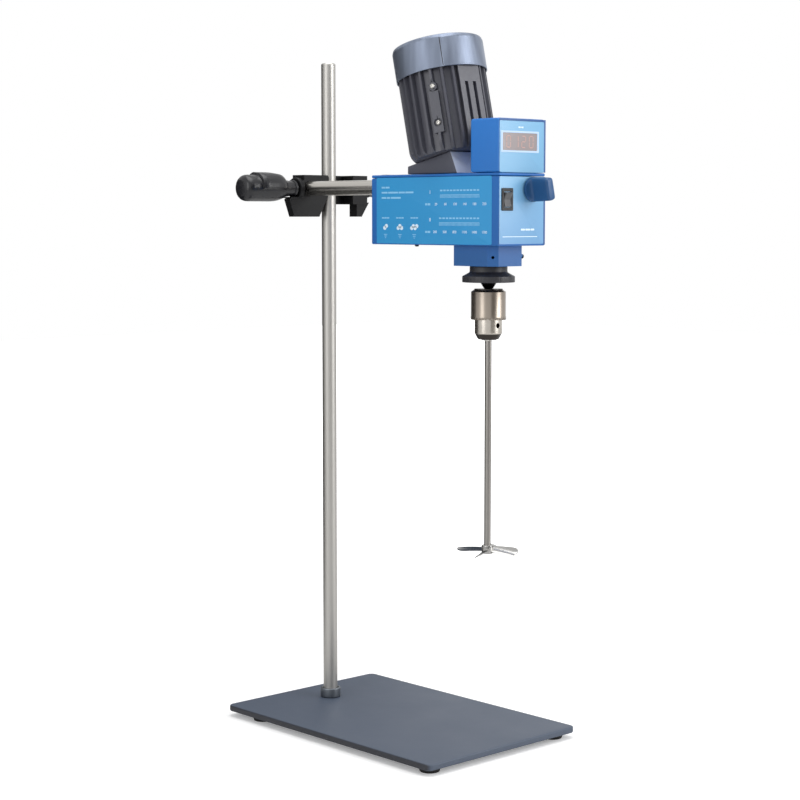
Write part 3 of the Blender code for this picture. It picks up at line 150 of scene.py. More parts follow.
# an outline whose corners are eased by a short parabola: A(1-t)^2 + 2Ct(1-t) + Bt^2 at each corner C
def eased(corners, reach, steps=4, closed=False):
    points = np.array(corners, float)
    ends = []
    for shift in (1, -1):
        leg = np.roll(points, shift, axis=0) - points
        length = np.maximum(np.linalg.norm(leg, axis=1, keepdims=True), 1e-9)
        ends.append((points + leg / length * np.minimum(reach, length * 0.48))[:, None])
    t = np.linspace(0, 1, steps + 1)[None, :, None]
    curve = ends[0] * (1 - t) ** 2 + 2 * points[:, None] * t * (1 - t) + ends[1] * t ** 2
    if closed:
        return curve.reshape(-1, 2)
    return np.vstack([points[:1], curve[1:-1].reshape(-1, 2), points[-1:]])


# the angles of one turn, its end left to its start
def fullTurn(sides):
    return np.linspace(0, 2 * math.pi, sides, endpoint=False)[None, :]


# points round Z: x = r cos a, y = r sin a
def around(radius, angle, height):
    return np.stack([radius * np.cos(angle), radius * np.sin(angle), height + 0 * angle], axis=-1)


# a profile of (radius, height) turned once about Z, its radius changed on the way by swell
def turnedGrid(profile, sides=96, swell=None):
    profile = np.asarray(profile, float)
    radius, height, angle = np.maximum(profile[:, :1], 1e-5), profile[:, 1:2], fullTurn(sides)
    return around(swell(radius, height, angle) if swell else radius, angle, height)


# turns a grid built along +Z so that Z runs along axis and X along side, and moves it to origin
def seated(grid, origin, axis=(0, 0, 1), side=(1, 0, 0)):
    z = np.array(axis, float)
    z /= np.linalg.norm(z)
    x = np.array(side, float)
    x -= z * x.dot(z)
    x /= np.linalg.norm(x)
    return grid @ np.stack([x, np.cross(z, x), z]) + np.array(origin, float)


# names a finished mesh as a piece: which body carries it, its finish and what it stands for
def addPiece(name, mesh, body, finish, replaced=()):
    piece = linked(name, mesh)
    mesh.materials.clear()
    mesh.materials.append(finishes[finish])
    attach(piece, body)
    if replaced:
        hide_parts(*replaced)
        dressed.update(replaced)
    return piece


def addGrid(name, grid, body, finish, replaced=(), sharp=35, ring=False):
    return addPiece(name, gridMesh(name, grid, sharp, ring), body, finish, replaced)


# a turned piece from a profile whose two ends lie on or near its axis
def addTurned(name, profile, origin, axis, body, finish, replaced=(), sides=96, ring=False, swell=None,
              side=(1, 0, 0), sharp=35):
    grid = seated(turnedGrid(profile, sides, swell), origin, axis, side)
    return addGrid(name, grid, body, finish, replaced, sharp, ring)


# cuts a row of closed shapes out of a mesh and returns the cut mesh
def carved(mesh, cutters):
    body = linked("carved", mesh)
    shapes = [linked("cutter", cutter) for cutter in cutters]
    for shape in shapes:
        step = body.modifiers.new("cut", "BOOLEAN")
        step.operation = "DIFFERENCE"
        step.object = shape
    bpy.context.view_layer.update()
    result = bpy.data.meshes.new_from_object(body.evaluated_get(bpy.context.evaluated_depsgraph_get()))
    for shape in [body, *shapes]:
        bpy.data.objects.remove(shape)
    return result


# a copy of a solid with its loose triangles merged and its edges rounded, which then stands for it
def addRounded(node, width, body, finish, segments=2, cutters=()):
    mesh = nodes[node].data.copy()
    if cutters:
        mesh = carved(mesh, cutters)
    work = bmesh.new()
    work.from_mesh(mesh)
    bmesh.ops.remove_doubles(work, verts=work.verts, dist=1e-6)
    bmesh.ops.dissolve_limit(work, angle_limit=math.radians(1), verts=work.verts, edges=work.edges)
    work.to_mesh(mesh)
    work.free()
    piece = addPiece(node + "_shape", mesh, body, finish, (node,))
    mesh.shade_smooth()
    sharpEdge = math.radians(30)
    if width:
        step = piece.modifiers.new("easedEdges", "BEVEL")
        step.width = width
        step.segments = segments
        step.limit_method = "ANGLE"
        step.angle_limit = sharpEdge
    else:
        mesh.set_sharp_from_angle(angle=sharpEdge)
    even = piece.modifiers.new("flatFaces", "WEIGHTED_NORMAL")
    even.weight = 100


# a noise of a real size in mm lifts the surface, and where a spread is given it moves the roughness too
def addGrain(tree, shader, place, size, detail, fineness, strength, lift, spread=None):
    settings = {"Scale": 1 / (size * mm), "Detail": detail, "Roughness": fineness}
    grain = addNode(tree, "TexNoise", settings, {"Vector": place}).outputs["Fac"]
    bump = addNode(tree, "Bump", {"Strength": strength, "Distance": lift * mm}, {"Height": grain})
    tree.links.new(bump.outputs["Normal"], shader.inputs["Normal"])
    if spread:
        rough = addNode(tree, "MapRange", {"To Min": spread[0], "To Max": spread[1]}, {"Value": grain})
        tree.links.new(rough.outputs["Result"], shader.inputs["Roughness"])


# the base colour goes from one tone to another as a value goes from start to end
def addTones(tree, shader, value, start, end, first, second):
    share = addNode(tree, "MapRange", {"From Min": start, "From Max": end}, {"Value": value})
    tone = addNode(tree, "Mix", {"data_type": "RGBA", 6: paint(first), 7: paint(second)},
                   {0: share.outputs["Result"]})
    tree.links.new(tone.outputs[2], shader.inputs["Base Color"])


# Powder coat, sprayed and baked: a fine orange-peel grain about a millimetre across, drawn a little coarse.
# Faces turned against the given axis take a second tone that paints how light falls on them: painted shade
# for the slate plate, a painted highlight for the carriage
def powderCoat(name, colour, axis, lightingTone, roughness=0.52):
    tree, shader, coords = startFinish(name, {"Base Color": paint(colour), "IOR": 1.5})
    addGrain(tree, shader, coords, 1.1, 3.0, 0.6, 0.12, 0.3)
    cloud = addNode(tree, "TexNoise", {"Scale": 1 / (60 * mm), "Detail": 2.0}, {"Vector": coords})
    rough = addNode(tree, "MapRange", {"To Min": roughness - 0.06, "To Max": roughness + 0.08},
                    {"Value": cloud.outputs["Fac"]})
    tree.links.new(rough.outputs["Result"], shader.inputs["Roughness"])
    facing = addNode(tree, "SeparateXYZ", links={"Vector": coords.node.outputs["Normal"]})
    # the painted light tone, mixed in by the face's normal
    addTones(tree, shader, facing.outputs[axis], -0.5, -0.9, colour, lightingTone)


# Satin enamel on sheet steel: almost smooth under a thin clear coat, painted a little darker towards its foot
# as painted shade
def satinEnamel(name, colour, footShadeColour, low, high):
    settings = {"Roughness": 0.36, "IOR": 1.5, "Coat Weight": 0.12, "Coat Roughness": 0.18}
    tree, shader, coords = startFinish(name, settings)
    place = addNode(tree, "SeparateXYZ", links={"Vector": coords})
    addTones(tree, shader, place.outputs["Z"], low, high, footShadeColour, colour)
    addGrain(tree, shader, coords, 2.2, 2.0, 0.5, 0.05, 0.2)


# Turned or ground steel: fine rings round its axis, so the pattern is squeezed along that axis
def groundSteel(name, colour, roughness, ringSize, axis="Z"):
    tree, shader, coords = startFinish(name, {"Base Color": paint(colour), "Metallic": 1.0})
    squeeze = [1.0 if letter == axis else 0.02 for letter in "XYZ"]
    place = addNode(tree, "Mapping", {"Scale": squeeze}, {"Vector": coords}).outputs["Vector"]
    addGrain(tree, shader, place, ringSize, 2.0, 0.5, 0.01, 0.01, (roughness - 0.03, roughness + 0.03))


# Moulded plastic: a spark-eroded grain, finer and lower than a coat's
def mouldedPlastic(name, colour, roughness=0.42, grainSize=0.6, depth=0.08):
    settings = {"Base Color": paint(colour), "Roughness": roughness, "IOR": 1.49}
    tree, shader, coords = startFinish(name, settings)
    grain = addNode(tree, "TexVoronoi", {"Scale": 1 / (grainSize * mm)}, {"Vector": coords})
    bump = addNode(tree, "Bump", {"Strength": depth, "Distance": 0.1 * mm},
                   {"Height": grain.outputs["Distance"]})
    tree.links.new(bump.outputs["Normal"], shader.inputs["Normal"])


# Die-cast aluminium under dark paint: the casting's skin shows as soft lumps and its edges shine a little
def castPaint(name, colour, roughness, lumpSize, depth, sheen):
    settings = {"Base Color": paint(colour), "IOR": 1.5, "Coat Weight": 0.15 * sheen, "Coat Roughness": 0.3,
                "Specular IOR Level": sheen}
    tree, shader, coords = startFinish(name, settings)
    addGrain(tree, shader, coords, lumpSize, 4.0, 0.55, depth, 0.25, (roughness - 0.08, roughness + 0.1))


# Drawn sheet under silver paint: pale and dark streaks up the skirt, so the pattern is stretched along Z
def drawnSheet(name, dark, pale):
    tree, shader, coords = startFinish(name, {"Roughness": 0.42, "Metallic": 0.8})
    place = addNode(tree, "Mapping", {"Scale": (1.0, 1.0, 0.03)}, {"Vector": coords})
    streaks = addNode(tree, "TexNoise", {"Scale": 1 / (9 * mm), "Detail": 1.5, "Roughness": 0.45},
                      {"Vector": place.outputs["Vector"]})
    addTones(tree, shader, streaks.outputs["Fac"], 0.2, 0.8, dark, pale)


# the plate's -X faces take #20222a, a painted shade
powderCoat("slateCoatPaintedShade", "#475161", "X", "#20222a")
# the carriage's -Y front faces take #cfd6e4, a painted highlight
powderCoat("anthraciteCoatPaintedHighlight", "#4a4c57", "Y", "#cfd6e4")
castPaint("blackPaintedCasting", "#0b0b0d", 0.48, 2.2, 0.14, 0.2)
castPaint("charcoalPaintedCasting", "#45464f", 0.4, 2.6, 0.22, 0.5)
drawnSheet("silverPaintedSheet", "#687080", "#8791a3")
# each enamel's second, darker colour lower down is painted shade
satinEnamel("blueSideEnamel", "#0a64b2", "#085ba4", 0.53, 0.61)
satinEnamel("blueDisplayEnamel", "#1a75ca", "#176cbd", 0.6, 0.66)
satinEnamel("skyBlueFrontEnamel", "#72aad0", "#6f9fcb", 0.53, 0.61)
satinEnamel("deepBlueCaseEnamel", "#1c5c9c", "#185592", 0.5, 0.533)
for row in (
    ("groundStainlessRod", "#aeaca8", 0.42, 0.5), ("groundStainlessArm", "#b8b5af", 0.26, 0.5, "Y"),
    ("zincedCollarSteel", "#74797f", 0.4, 0.6), ("turnedSteel", "#bdbbb6", 0.3, 0.6),
    ("satinChuckSteel", "#968d83", 0.3, 0.5), ("polishedShaftSteel", "#94918d", 0.3, 0.6),
    ("turnedScrewSteel", "#b4b2ae", 0.32, 0.5, "X"), ("blackOxideSteel", "#2a2a2d", 0.35, 0.5),
    ("turnedNoseSteel", "#a8a39b", 0.26, 0.5), ("pressedBladeSteel", "#a3a2a0", 0.2, 0.8),
    ("darkenedSteel", "#3b3835", 0.35, 0.5), ("stackedLaminations", "#7b726a", 0.45, 0.4),
    ("bearingBronze", "#b98a4e", 0.35, 0.5, "Y"),
):
    groundSteel(*row)
for row in (
    ("blackPhenolic", "#141419", 0.3), ("blackNylon", "#121215"), ("blackAcetal", "#26262b", 0.45),
    ("darkBlueABS", "#194a7a", 0.4), ("paleBezelABS", "#b9d2ee", 0.45),
    # the rim films' dark blue is painted shade
    ("blackRubber", "#1b1b1c", 0.75, 0.9, 0.15), ("rimPaintedShade", "#1c4f8c", 0.4),
    ("blueLabelFilm", "#2d92cc", 0.38, 0.4, 0.01), ("paleScreenPrint", "#86c4ea", 0.5, 0.4, 0.02),
    ("smokedPane", "#948b8c", 0.25, 1.4, 0.03), ("litSegments", "#b8938c", 0.3, 0.5, 0.02),
    ("greyRocker", "#4d4e50", 0.35), ("greenSolderMask", "#1f6b3c", 0.4),
    ("whiteScreenPrint", "#d8ecfb", 0.5, 0.4, 0.02),
):
    mouldedPlastic(*row)
print("finishes:", len(finishes))


# stacked rounded rectangles, one for each row's half size, corner and height:
# middle +- (half - corner) + corner (cos a, sin a)
def rectRows(middle, half, corner, height, steps):
    angle = (np.arange(4)[:, None] * math.pi / 2 + np.linspace(0, math.pi / 2, steps + 1)).ravel()
    sign = np.repeat([[1, 1], [-1, 1], [-1, -1], [1, -1]], steps + 1, axis=0)
    corner = np.asarray(corner)[:, None, None]
    turn = np.stack([np.cos(angle), np.sin(angle)], axis=-1)
    flat = np.asarray(middle)[:2] + sign * (np.asarray(half)[:, None] - corner) + corner * turn
    rise = np.broadcast_to(np.asarray(height)[:, None, None], (*flat.shape[:2], 1))
    return np.concatenate([flat, rise], axis=-1)


# a block with round corners about Z and eased ends, its rows drawn in by the edge's arc
def blockGrid(low, high, corner, edge, steps=5):
    low, high = np.array(low, float), np.array(high, float)
    middle, half = (low + high) / 2, (high - low) / 2
    turn = np.linspace(0, math.pi / 2, steps + 1)
    inset = edge * (1 - np.sin(np.concatenate([turn, turn[::-1]])))
    rise = half[2] - edge * (1 - np.cos(turn))
    height = middle[2] + np.concatenate([-rise, rise[::-1]])
    return rectRows(middle, half[:2] - inset[:, None], corner - inset, height, steps)


# the middle and the half size of a node's box
def middleOf(node):
    low, high = (np.array(v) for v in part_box(node))
    return (low + high) / 2, (high - low) / 2


# Stand
plate = inMm(corner=7, edge=1.7)
grid = blockGrid(*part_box("base_plate"), plate["corner"], plate["edge"])
addGrid("slate_plate", grid, "stand", "slateCoatPaintedShade", ("base_plate",), 50)

foot = inMm(lip=0.8, taper=1.8)
for name in ("foot_front_left", "foot_front_right", "foot_rear_left", "foot_rear_right"):
    middle, half = middleOf(name)
    outline = [(0, -half[2]), (half[0] - foot["taper"], -half[2]), (half[0], half[2]), (0, half[2])]
    addTurned(name + "_pad", eased(outline, foot["lip"]), middle, (0, 0, 1), "stand",
              "blackRubber", (name,))

# Round bars between their two ends, with a small chamfer at each
for name, node, axis, chamfer, body, slot, finish in (
    ("ground_rod", "stand_rod", (0, 0, 1), 1.2 * mm, "stand", "rod_steel", "groundStainlessRod"),
    ("ground_arm", "extension_arm", (0, 1, 0), 1.0 * mm, "head", "rod_steel", "groundStainlessArm"),
    ("polished_shaft", "stirring_shaft", (0, 0, 1), 0.6 * mm, "spindle", "stirrer_steel",
     "polishedShaftSteel"),
):
    middle, half = middleOf(node)
    long = half.max()
    thick = (half.sum() - long) / 2
    outline = [(0, -long), (thick - chamfer, -long), (thick, -long + chamfer), (thick, long - chamfer),
               (thick - chamfer, long), (0, long)]
    addTurned(name, outline, middle, axis, body, finish, (node,), 72, sharp=25)

collar = inMm(gap=0.35, edge=1.1)
middle, half = middleOf("rod_collar")
bore = middleOf("stand_rod")[1][0] + collar["gap"]
outline = [(bore, -half[2]), (half[0], -half[2]), (half[0], half[2]), (bore, half[2])]
addTurned("base_collar", eased(outline, collar["edge"], closed=True), middle, (0, 0, 1), "stand",
          "zincedCollarSteel", ("rod_collar",), 72, ring=True)
print("stand done")


def jointOf(name):
    return next(joint for joint in frame["joints"] if joint["name"] == name)


# how far an angle is from another, from -pi to pi
def turnFrom(angle, start):
    return (angle - start + math.pi) % (2 * math.pi) - math.pi


# Motor: angles are counted from +X round the motor's own axis
motor = inMm(
    length=84.5, radius=45, core=40.2, toeHeight=12, toeDepth=8, plateHalf=5.3, plateFlat=44.2,
    plateLow=19, plateHigh=61, padHalf=13.5, padFlat=43, padHigh=67, slotAt=5.2, slotHalf=1.9,
    screwRadius=2.5, screwHeights=(29, 66), lug=4.6, lugFlat=43.6, recess=3.9, recessDeep=1.6,
)
motor |= {"fins": 24, "finShare": 0.30, "flank": 0.42, "columns": 720}
motor |= {"plateTurn": math.radians(210), "padTurn": math.radians(264)}
lowScrew, highScrew = motor["screwHeights"]
recessFloor = motor["plateFlat"] - motor["recessDeep"]
motorFoot = np.array(jointOf("rotor_spin")["pos_m"], float)
motorAxis = np.array(jointOf("rotor_spin")["axis"], float)


# radius of the finned casting: a core, fins as a clipped cosine, an arc that draws the toe in,
# and flats d / cos(a)
def motorRadius(height, angle):
    limit = math.cos(math.pi * motor["finShare"])
    fin = np.clip((np.cos(motor["fins"] * angle) - limit + motor["flank"] / 2) / motor["flank"], 0, 1)
    radius = motor["core"] + (motor["radius"] - motor["core"]) * fin * fin * (3 - 2 * fin)
    away = turnFrom(angle, motor["plateTurn"])
    near = np.abs(away) < 1
    across = np.abs(np.tan(away)) * motor["plateFlat"]
    onPlate = (across < motor["plateHalf"]) & (height > motor["plateLow"]) & (height < motor["plateHigh"])
    onLug = across ** 2 + (height - highScrew) ** 2 < motor["lug"] ** 2
    inRecess = across ** 2 + (height - lowScrew) ** 2 < motor["recess"] ** 2
    for there, flat in ((onPlate, motor["plateFlat"]), (onLug, motor["lugFlat"]), (inRecess, recessFloor)):
        radius = np.where(near & there, flat / np.cos(away), radius)
    away = turnFrom(angle, motor["padTurn"])
    across = np.abs(np.tan(away)) * motor["padFlat"]
    inSlot = (np.abs(across - motor["slotAt"]) < motor["slotHalf"]) & (height < motor["padHigh"])
    pad = np.where(inSlot, motor["core"], np.minimum(motor["padFlat"] / np.cos(away), motor["radius"]))
    radius = np.where((np.abs(away) < 1) & (across < motor["padHalf"]), pad, radius)
    rise = np.clip(1 - height / motor["toeHeight"], 0, 1)
    return np.minimum(radius, motor["radius"] - motor["toeDepth"] * (1 - np.sqrt(1 - rise * rise)))


# rows lie close on both sides of each step in height, and as a sine over the two round seats
edgeStep = 0.05 * mm
breaks = np.array([motor["plateLow"], motor["plateHigh"], motor["padHigh"]])
halfWave = np.sin(np.linspace(-math.pi / 2, math.pi / 2, 13))
rowHeights = np.sort(np.concatenate([
    np.linspace(0, motor["toeHeight"], 12), np.linspace(motor["toeHeight"] + 2 * mm, motor["length"], 14),
    breaks - edgeStep, breaks + edgeStep,
    highScrew + motor["lug"] * halfWave, lowScrew + motor["recess"] * halfWave,
]))[:, None]
angle = fullTurn(motor["columns"])
grid = seated(around(motorRadius(rowHeights, angle), angle, rowHeights), motorFoot, motorAxis)
addGrid("finned_casing", grid, "carriage", "charcoalPaintedCasting", ("motor_housing",), 38)


# a direction square to the motor's axis at an angle round it, and the point there at a height and a distance
def motorSpot(angle, height, distance):
    side = np.array([1.0, 0, 0])
    out = side * math.cos(angle) + np.cross(motorAxis, side) * math.sin(angle)
    return motorFoot + motorAxis * height + out * distance, out


def addPanScrew(name, origin, axis, radius, body, finish):
    shape = [(0, 0.35), (0.38, 0.35), (0.42, 0.72), (0.75, 0.62), (1, 0.3), (1, -0.2), (0, -0.2)]
    outline = eased(np.array(shape) * radius, 0.12 * radius)
    addTurned(name, outline, origin, axis, body, finish, sides=32, side=(0.3, 0.2, 1))


for number, height, flat in ((1, lowScrew, recessFloor), (2, highScrew, motor["plateFlat"])):
    spot, out = motorSpot(motor["plateTurn"], height, flat)
    addPanScrew(f"plate_screw_{number}", spot, out, motor["screwRadius"], "carriage", "turnedSteel")

# Fan cowl: a drawn sheet cup, lapped where its strip is joined, with round vents in the top
cowl = inMm(low=83.3, high=117.5, radius=46.7, wall=1.3, crown=4.2, lip=0.1, seamStep=0.9, seamHalf=0.45,
            ventCircle=22, ventRadius=4)
cowl |= {"seamTurn": math.radians(229), "seamFade": 0.16, "vents": 8, "ventTurn": 0.3, "sides": 160}
rim, crownFoot, inner = cowl["radius"], cowl["high"] - cowl["crown"], cowl["radius"] - cowl["wall"]


# the strip's lap: the radius jumps by a step at the seam and fades back as e^(-turn / fade)
def lapped(radius, height, angle):
    past = (angle - cowl["seamTurn"]) % (2 * math.pi)
    skirt = np.clip((cowl["high"] - 3 * mm - height) / (2 * mm), 0, 1) * (radius > rim - 0.5 * cowl["wall"])
    return radius + cowl["seamStep"] * np.exp(-past / cowl["seamFade"]) * skirt


outline = [(inner, cowl["low"] + 1 * mm), (inner + 0.2 * mm, cowl["low"]), (rim + cowl["lip"], cowl["low"]),
           (rim, cowl["low"] + 1.6 * mm), (rim, crownFoot), (rim - 1.1 * mm, cowl["high"] - 1.1 * mm),
           (rim - cowl["crown"], cowl["high"]), (0, cowl["high"])]
under = [(0, cowl["high"] - cowl["wall"]), (inner - cowl["crown"], cowl["high"] - cowl["wall"]),
         (inner, crownFoot - 1 * mm)]
profile = np.vstack([eased(outline, 0.7 * mm), eased(under, 0.5 * mm)])
grid = seated(turnedGrid(profile, cowl["sides"], lapped), motorFoot, motorAxis)
vents = []
for number in range(cowl["vents"]):
    turn = 2 * math.pi * (number + cowl["ventTurn"]) / cowl["vents"]
    spot, out = motorSpot(turn, cowl["high"] - 3 * mm, cowl["ventCircle"])
    hole = turnedGrid([(0, 0), (cowl["ventRadius"], 0), (cowl["ventRadius"], 6 * mm), (0, 6 * mm)], 40)
    vents.append(gridMesh("vent", seated(hole, spot, motorAxis)))
cup = carved(gridMesh("drawn_cowl", grid, 30, True), vents)
addPiece("drawn_cowl", smoothed(cup, 30), "carriage", "silverPaintedSheet", ("fan_cowl",))
low = (rim - 0.5 * mm, -cowl["seamHalf"], cowl["low"] + 1 * mm)
high = (rim + 0.55 * mm, cowl["seamHalf"], crownFoot)
spot, out = motorSpot(cowl["seamTurn"] - 0.01, 0, 0)
grid = seated(blockGrid(low, high, 0.2 * mm, 0.1 * mm, 2), motorFoot, motorAxis, out)
addGrid("cowl_seam", grid, "carriage", "darkenedSteel", sharp=50)
addRounded("motor_carriage", 0, "carriage", "anthraciteCoatPaintedHighlight")
print("motor done")


# places measured in the base plate's own frame, moved to the shared one
def placed(x, y, z):
    return np.array([x - 2.0, y + 39.35, z + 13.0]) * mm


# Drive head: the sheet steel keeps its hollow solids, with eased edges and enamel
for node, width, slot, finish in (
    ("main_housing", 0.5, "deep_blue_coat", "blueSideEnamel"),
    ("top_plate", 0.5, "deep_blue_coat", "blueSideEnamel"),
    ("display_housing", 0.6, "deep_blue_coat", "blueDisplayEnamel"),
    ("gear_case", 0.5, "deep_blue_coat", "deepBlueCaseEnamel"),
    ("front_panel", 0, "light_blue_coat", "skyBlueFrontEnamel"),
    ("display_panel", 0, "light_blue_coat", "skyBlueFrontEnamel"),
):
    addRounded(node, width * mm, "head", finish)

# The head's two labelled faces: u runs to the reader's right, v up, and w out of the face
sideFace = {"origin": placed(-67, 0, 0), "axis": (-1, 0, 0), "side": (0, -1, 0)}
frontFace = {"origin": placed(0, -217, 0), "axis": (0, -1, 0), "side": (1, 0, 0)}


# flat slabs on a face, one for each (u0, v0, u1, v1): eight corners each, all made in one array
def slabs(rects, low, high):
    rects = np.reshape(rects, (len(rects), 4)) * mm
    flat = rects[:, [0, 1, 2, 1, 2, 3, 0, 3] * 2].reshape(len(rects), 8, 2)
    height = np.repeat([low, high], 4)[None, :, None] * np.ones((len(rects), 1, 1))
    sides = np.array([[3, 2, 1, 0], [4, 5, 6, 7], [0, 1, 5, 4], [1, 2, 6, 5], [2, 3, 7, 6], [3, 0, 4, 7]])
    faces = np.arange(len(rects))[:, None, None] * 8 + sides
    return np.concatenate([flat, height], axis=2).reshape(-1, 3), faces.reshape(-1, 4).tolist()


# a number set in the plain font, as points and faces on its own flat plane
def numberShape(word, u, v, size, thick):
    curve = bpy.data.curves.new("number", "FONT")
    curve.body = word
    curve.size = size * mm
    curve.extrude = thick
    curve.align_x = "CENTER"
    curve.align_y = "CENTER"
    letter = linked("number", curve)
    bpy.context.view_layer.update()
    mesh = bpy.data.meshes.new_from_object(letter.evaluated_get(bpy.context.evaluated_depsgraph_get()))
    bpy.data.objects.remove(letter)
    points = np.zeros(len(mesh.vertices) * 3)
    mesh.vertices.foreach_get("co", points)
    return points.reshape(-1, 3) + (u * mm, v * mm, thick), [list(face.vertices) for face in mesh.polygons]


# a flat round dot, squashed in height: two rings of points with their caps
def dotShape(u, v, radius, squash, low, high, sides=24):
    ring = around(radius * mm, fullTurn(sides)[0], 0)[:, :2] * (1, squash) + (u * mm, v * mm)
    index = np.arange(sides)
    after = (index + 1) % sides
    faces = np.stack([index, after, after + sides, index + sides], axis=1).tolist()
    faces += [index[::-1].tolist(), (index + sides).tolist()]
    return np.column_stack([np.vstack([ring, ring]), np.repeat([low, high], sides)]), faces


# slabs, numbers and round dots joined into one printed piece on a face
def addPrint(name, face, finish, rects=(), words=(), dots=(), low=0.2 * mm, high=0.32 * mm):
    shapes = [slabs(rects, low, high)]
    shapes += [numberShape(*word, high / 2) for word in words] + [dotShape(*dot, low, high) for dot in dots]
    starts = np.cumsum([0] + [len(points) for points, faces in shapes])
    faces = [[index + start for index in corners] for (points, faces), start in zip(shapes, starts)
             for corners in faces]
    mesh = bpy.data.meshes.new(name)
    mesh.from_pydata(seated(np.vstack([points for points, faces in shapes]), **face).tolist(), [], faces)
    addPiece(name, tidyMesh(mesh, 20), "head", finish)


# a block seated on a face, from (u0, v0) to (u1, v1) in mm
def faceBlock(name, face, rect, corner, thick, edge, steps):
    low, high = (rect[0] * mm, rect[1] * mm, 0), (rect[2] * mm, rect[3] * mm, thick)
    return gridMesh(name, seated(blockGrid(low, high, corner, edge, steps), **face), 50)


# a thin sheet stuck on a face, its corners rounded
def addFilm(name, face, rect, corner, thick, finish):
    addPiece(name, faceBlock(name, face, rect, corner, thick, thick * 0.4, 4), "head", finish)


film = inMm(corner=1.5, thick=0.18)
addFilm("side_film", sideFace, (40.2, 521.6, 207.4, 589.0), film["corner"], film["thick"],
        "blueLabelFilm")

# Speed scales of the two ranges, in mm: a mark, a row of ticks between two lines, and numbers under it
ranges = [
    {"mark": "I", "top": 576.4, "left": 135.0, "right": 190.4, "row": 561.6,
     "numbers": (20, 60, 100, 140, 180, 220)},
    {"mark": "II", "top": 548.7, "left": 133.7, "right": 190.6, "row": 533.8,
     "numbers": (200, 500, 800, 1100, 1400, 1700)},
]
whiteWords = []
paleRects = []
for scale in ranges:
    top, left, right, row = (scale[key] for key in ("top", "left", "right", "row"))
    whiteWords.append((scale["mark"], 120.4, top - 2.8, 5.2))
    spots = np.linspace(left - 6, right + 7, len(scale["numbers"]))
    whiteWords += [(str(number), u, row, 3.7) for number, u in zip(scale["numbers"], spots)]
    paleRects += [(u, top - 1.9, u + 3.4, top - 0.3) for u in np.linspace(left, right - 3.6, 12)]
    paleRects += [(u, top - 8.6, u + 0.7, top - 5.8) for u in np.linspace(left, right - 0.7, 34)]
    paleRects += [(left, top - 5.7, right, top - 5.2), (113.5, row - 1.1, 116.2, row + 1.1),
                  (116.9, row - 1.1, 120.9, row + 1.1)]

# Plain bars in three rows at the top left
bars = {579.0: ((48, 53), (54, 60)), 573.8: ((48, 57), (58, 73), (74, 83), (84, 96)),
        568.4: ((48, 55), (56, 61), (62, 77))}
paleRects += [(a, v - 0.9, b, v + 0.9) for v, spans in bars.items() for a, b in spans]

# Three plain symbols for how thick the stirred liquid is: a heap of dots over an open cup
whiteDots = []
for u, heap in ((54.0, 2), (75.8, 3), (97.3, 4)):
    paleRects += [(u - 5.5 + 3.9 * k, 547.2, u - 2.2 + 3.9 * k, 548.6) for k in range(3)]
    whiteDots += [(u - 1.235 * (heap - 1) + 2.5 * k, 538.2 + (1.4 if k % 2 else -0.6), 2.3, 0.9)
                  for k in range(heap)]
    paleRects += [(u - half, v, u + half, v + 0.7) for half, v in ((2.6, 530.6), (1.8, 528.9), (0.9, 527.2))]
addPrint("label_lines", sideFace, "paleScreenPrint", paleRects)
addPrint("label_numbers", sideFace, "whiteScreenPrint", words=whiteWords, dots=whiteDots)

# Front, in mm: two sheets reach from the near corner to the rim, with a band between them; the rim's dark
# films are painted shade on its lip
front = {"left": -66.5, "right": -3.6, "end": -1.2, "low": 522.4, "band": 588.2, "step": 592.6, "high": 642.3,
         "rim": 2.2}
left, right, top = front["left"], front["right"], front["high"] + front["rim"]
for name, rect in (("front_sheet", (left, front["low"], right, front["band"])),
                   ("display_sheet", (left, front["step"], right, front["high"]))):
    addFilm(name, frontFace, rect, 0.9 * mm, 0.22 * mm, "skyBlueFrontEnamel")
# dark films along the rim's lip: painted shade
for name, rect in (("front_rim", (right + 0.1, front["low"] - 1, front["end"], front["band"] + 0.2)),
                   ("display_rim", (right + 0.1, front["step"], front["end"], top)),
                   ("display_top_rim", (left, front["high"] + 0.1, right, top))):
    addFilm(name, frontFace, rect, 0.3 * mm, 0.2 * mm, "rimPaintedShade")
frontMarks = [(a, 635.5, b, 637.0) for a, b in ((-40.4, -38.0), (-37.5, -36.1), (-35.6, -33.4))]
frontMarks += [(a, 535.6, b, 537.4) for a, b in ((-36.0, -30.4), (-29.6, -23.0), (-22.2, -17.0))]
frontMarks.append((-61.8, 529.2, -12.7, 529.9))
addPrint("front_marks", frontFace, "whiteScreenPrint", frontMarks, low=0.24 * mm,
         high=0.36 * mm)

# Display: a pale ring of six rounded rectangles round a smoked pane
window = {"u": -38.2, "v": 622.2} | inMm(outer=(27.0, 10.5), inner=(24.3, 8.5), ease=0.3, foot=0.1, face=0.75)
u, v = window["u"], window["v"]
change = np.array([0, 0, -1, 1, 0, 0]) * window["ease"]
half = np.array([window["outer"]] * 3 + [window["inner"]] * 3) + change[:, None]
step = window["face"] - window["ease"]
height = [window["foot"], step, window["face"], window["face"], step, window["foot"]]
grid = seated(rectRows((u * mm, v * mm), half, 1.0 * mm + change, height, 6), **frontFace)
addGrid("pale_bezel", grid, "head", "paleBezelABS", ("window_bezel",), 30, True)
pane = faceBlock("smoked_window", frontFace, (u - 24.4, v - 8.6, u + 24.4, v + 8.6), 0.8 * mm, 0.35 * mm,
                 0.1 * mm, 5)
addPiece("smoked_window", pane, "head", "smokedPane", ("display_window",))

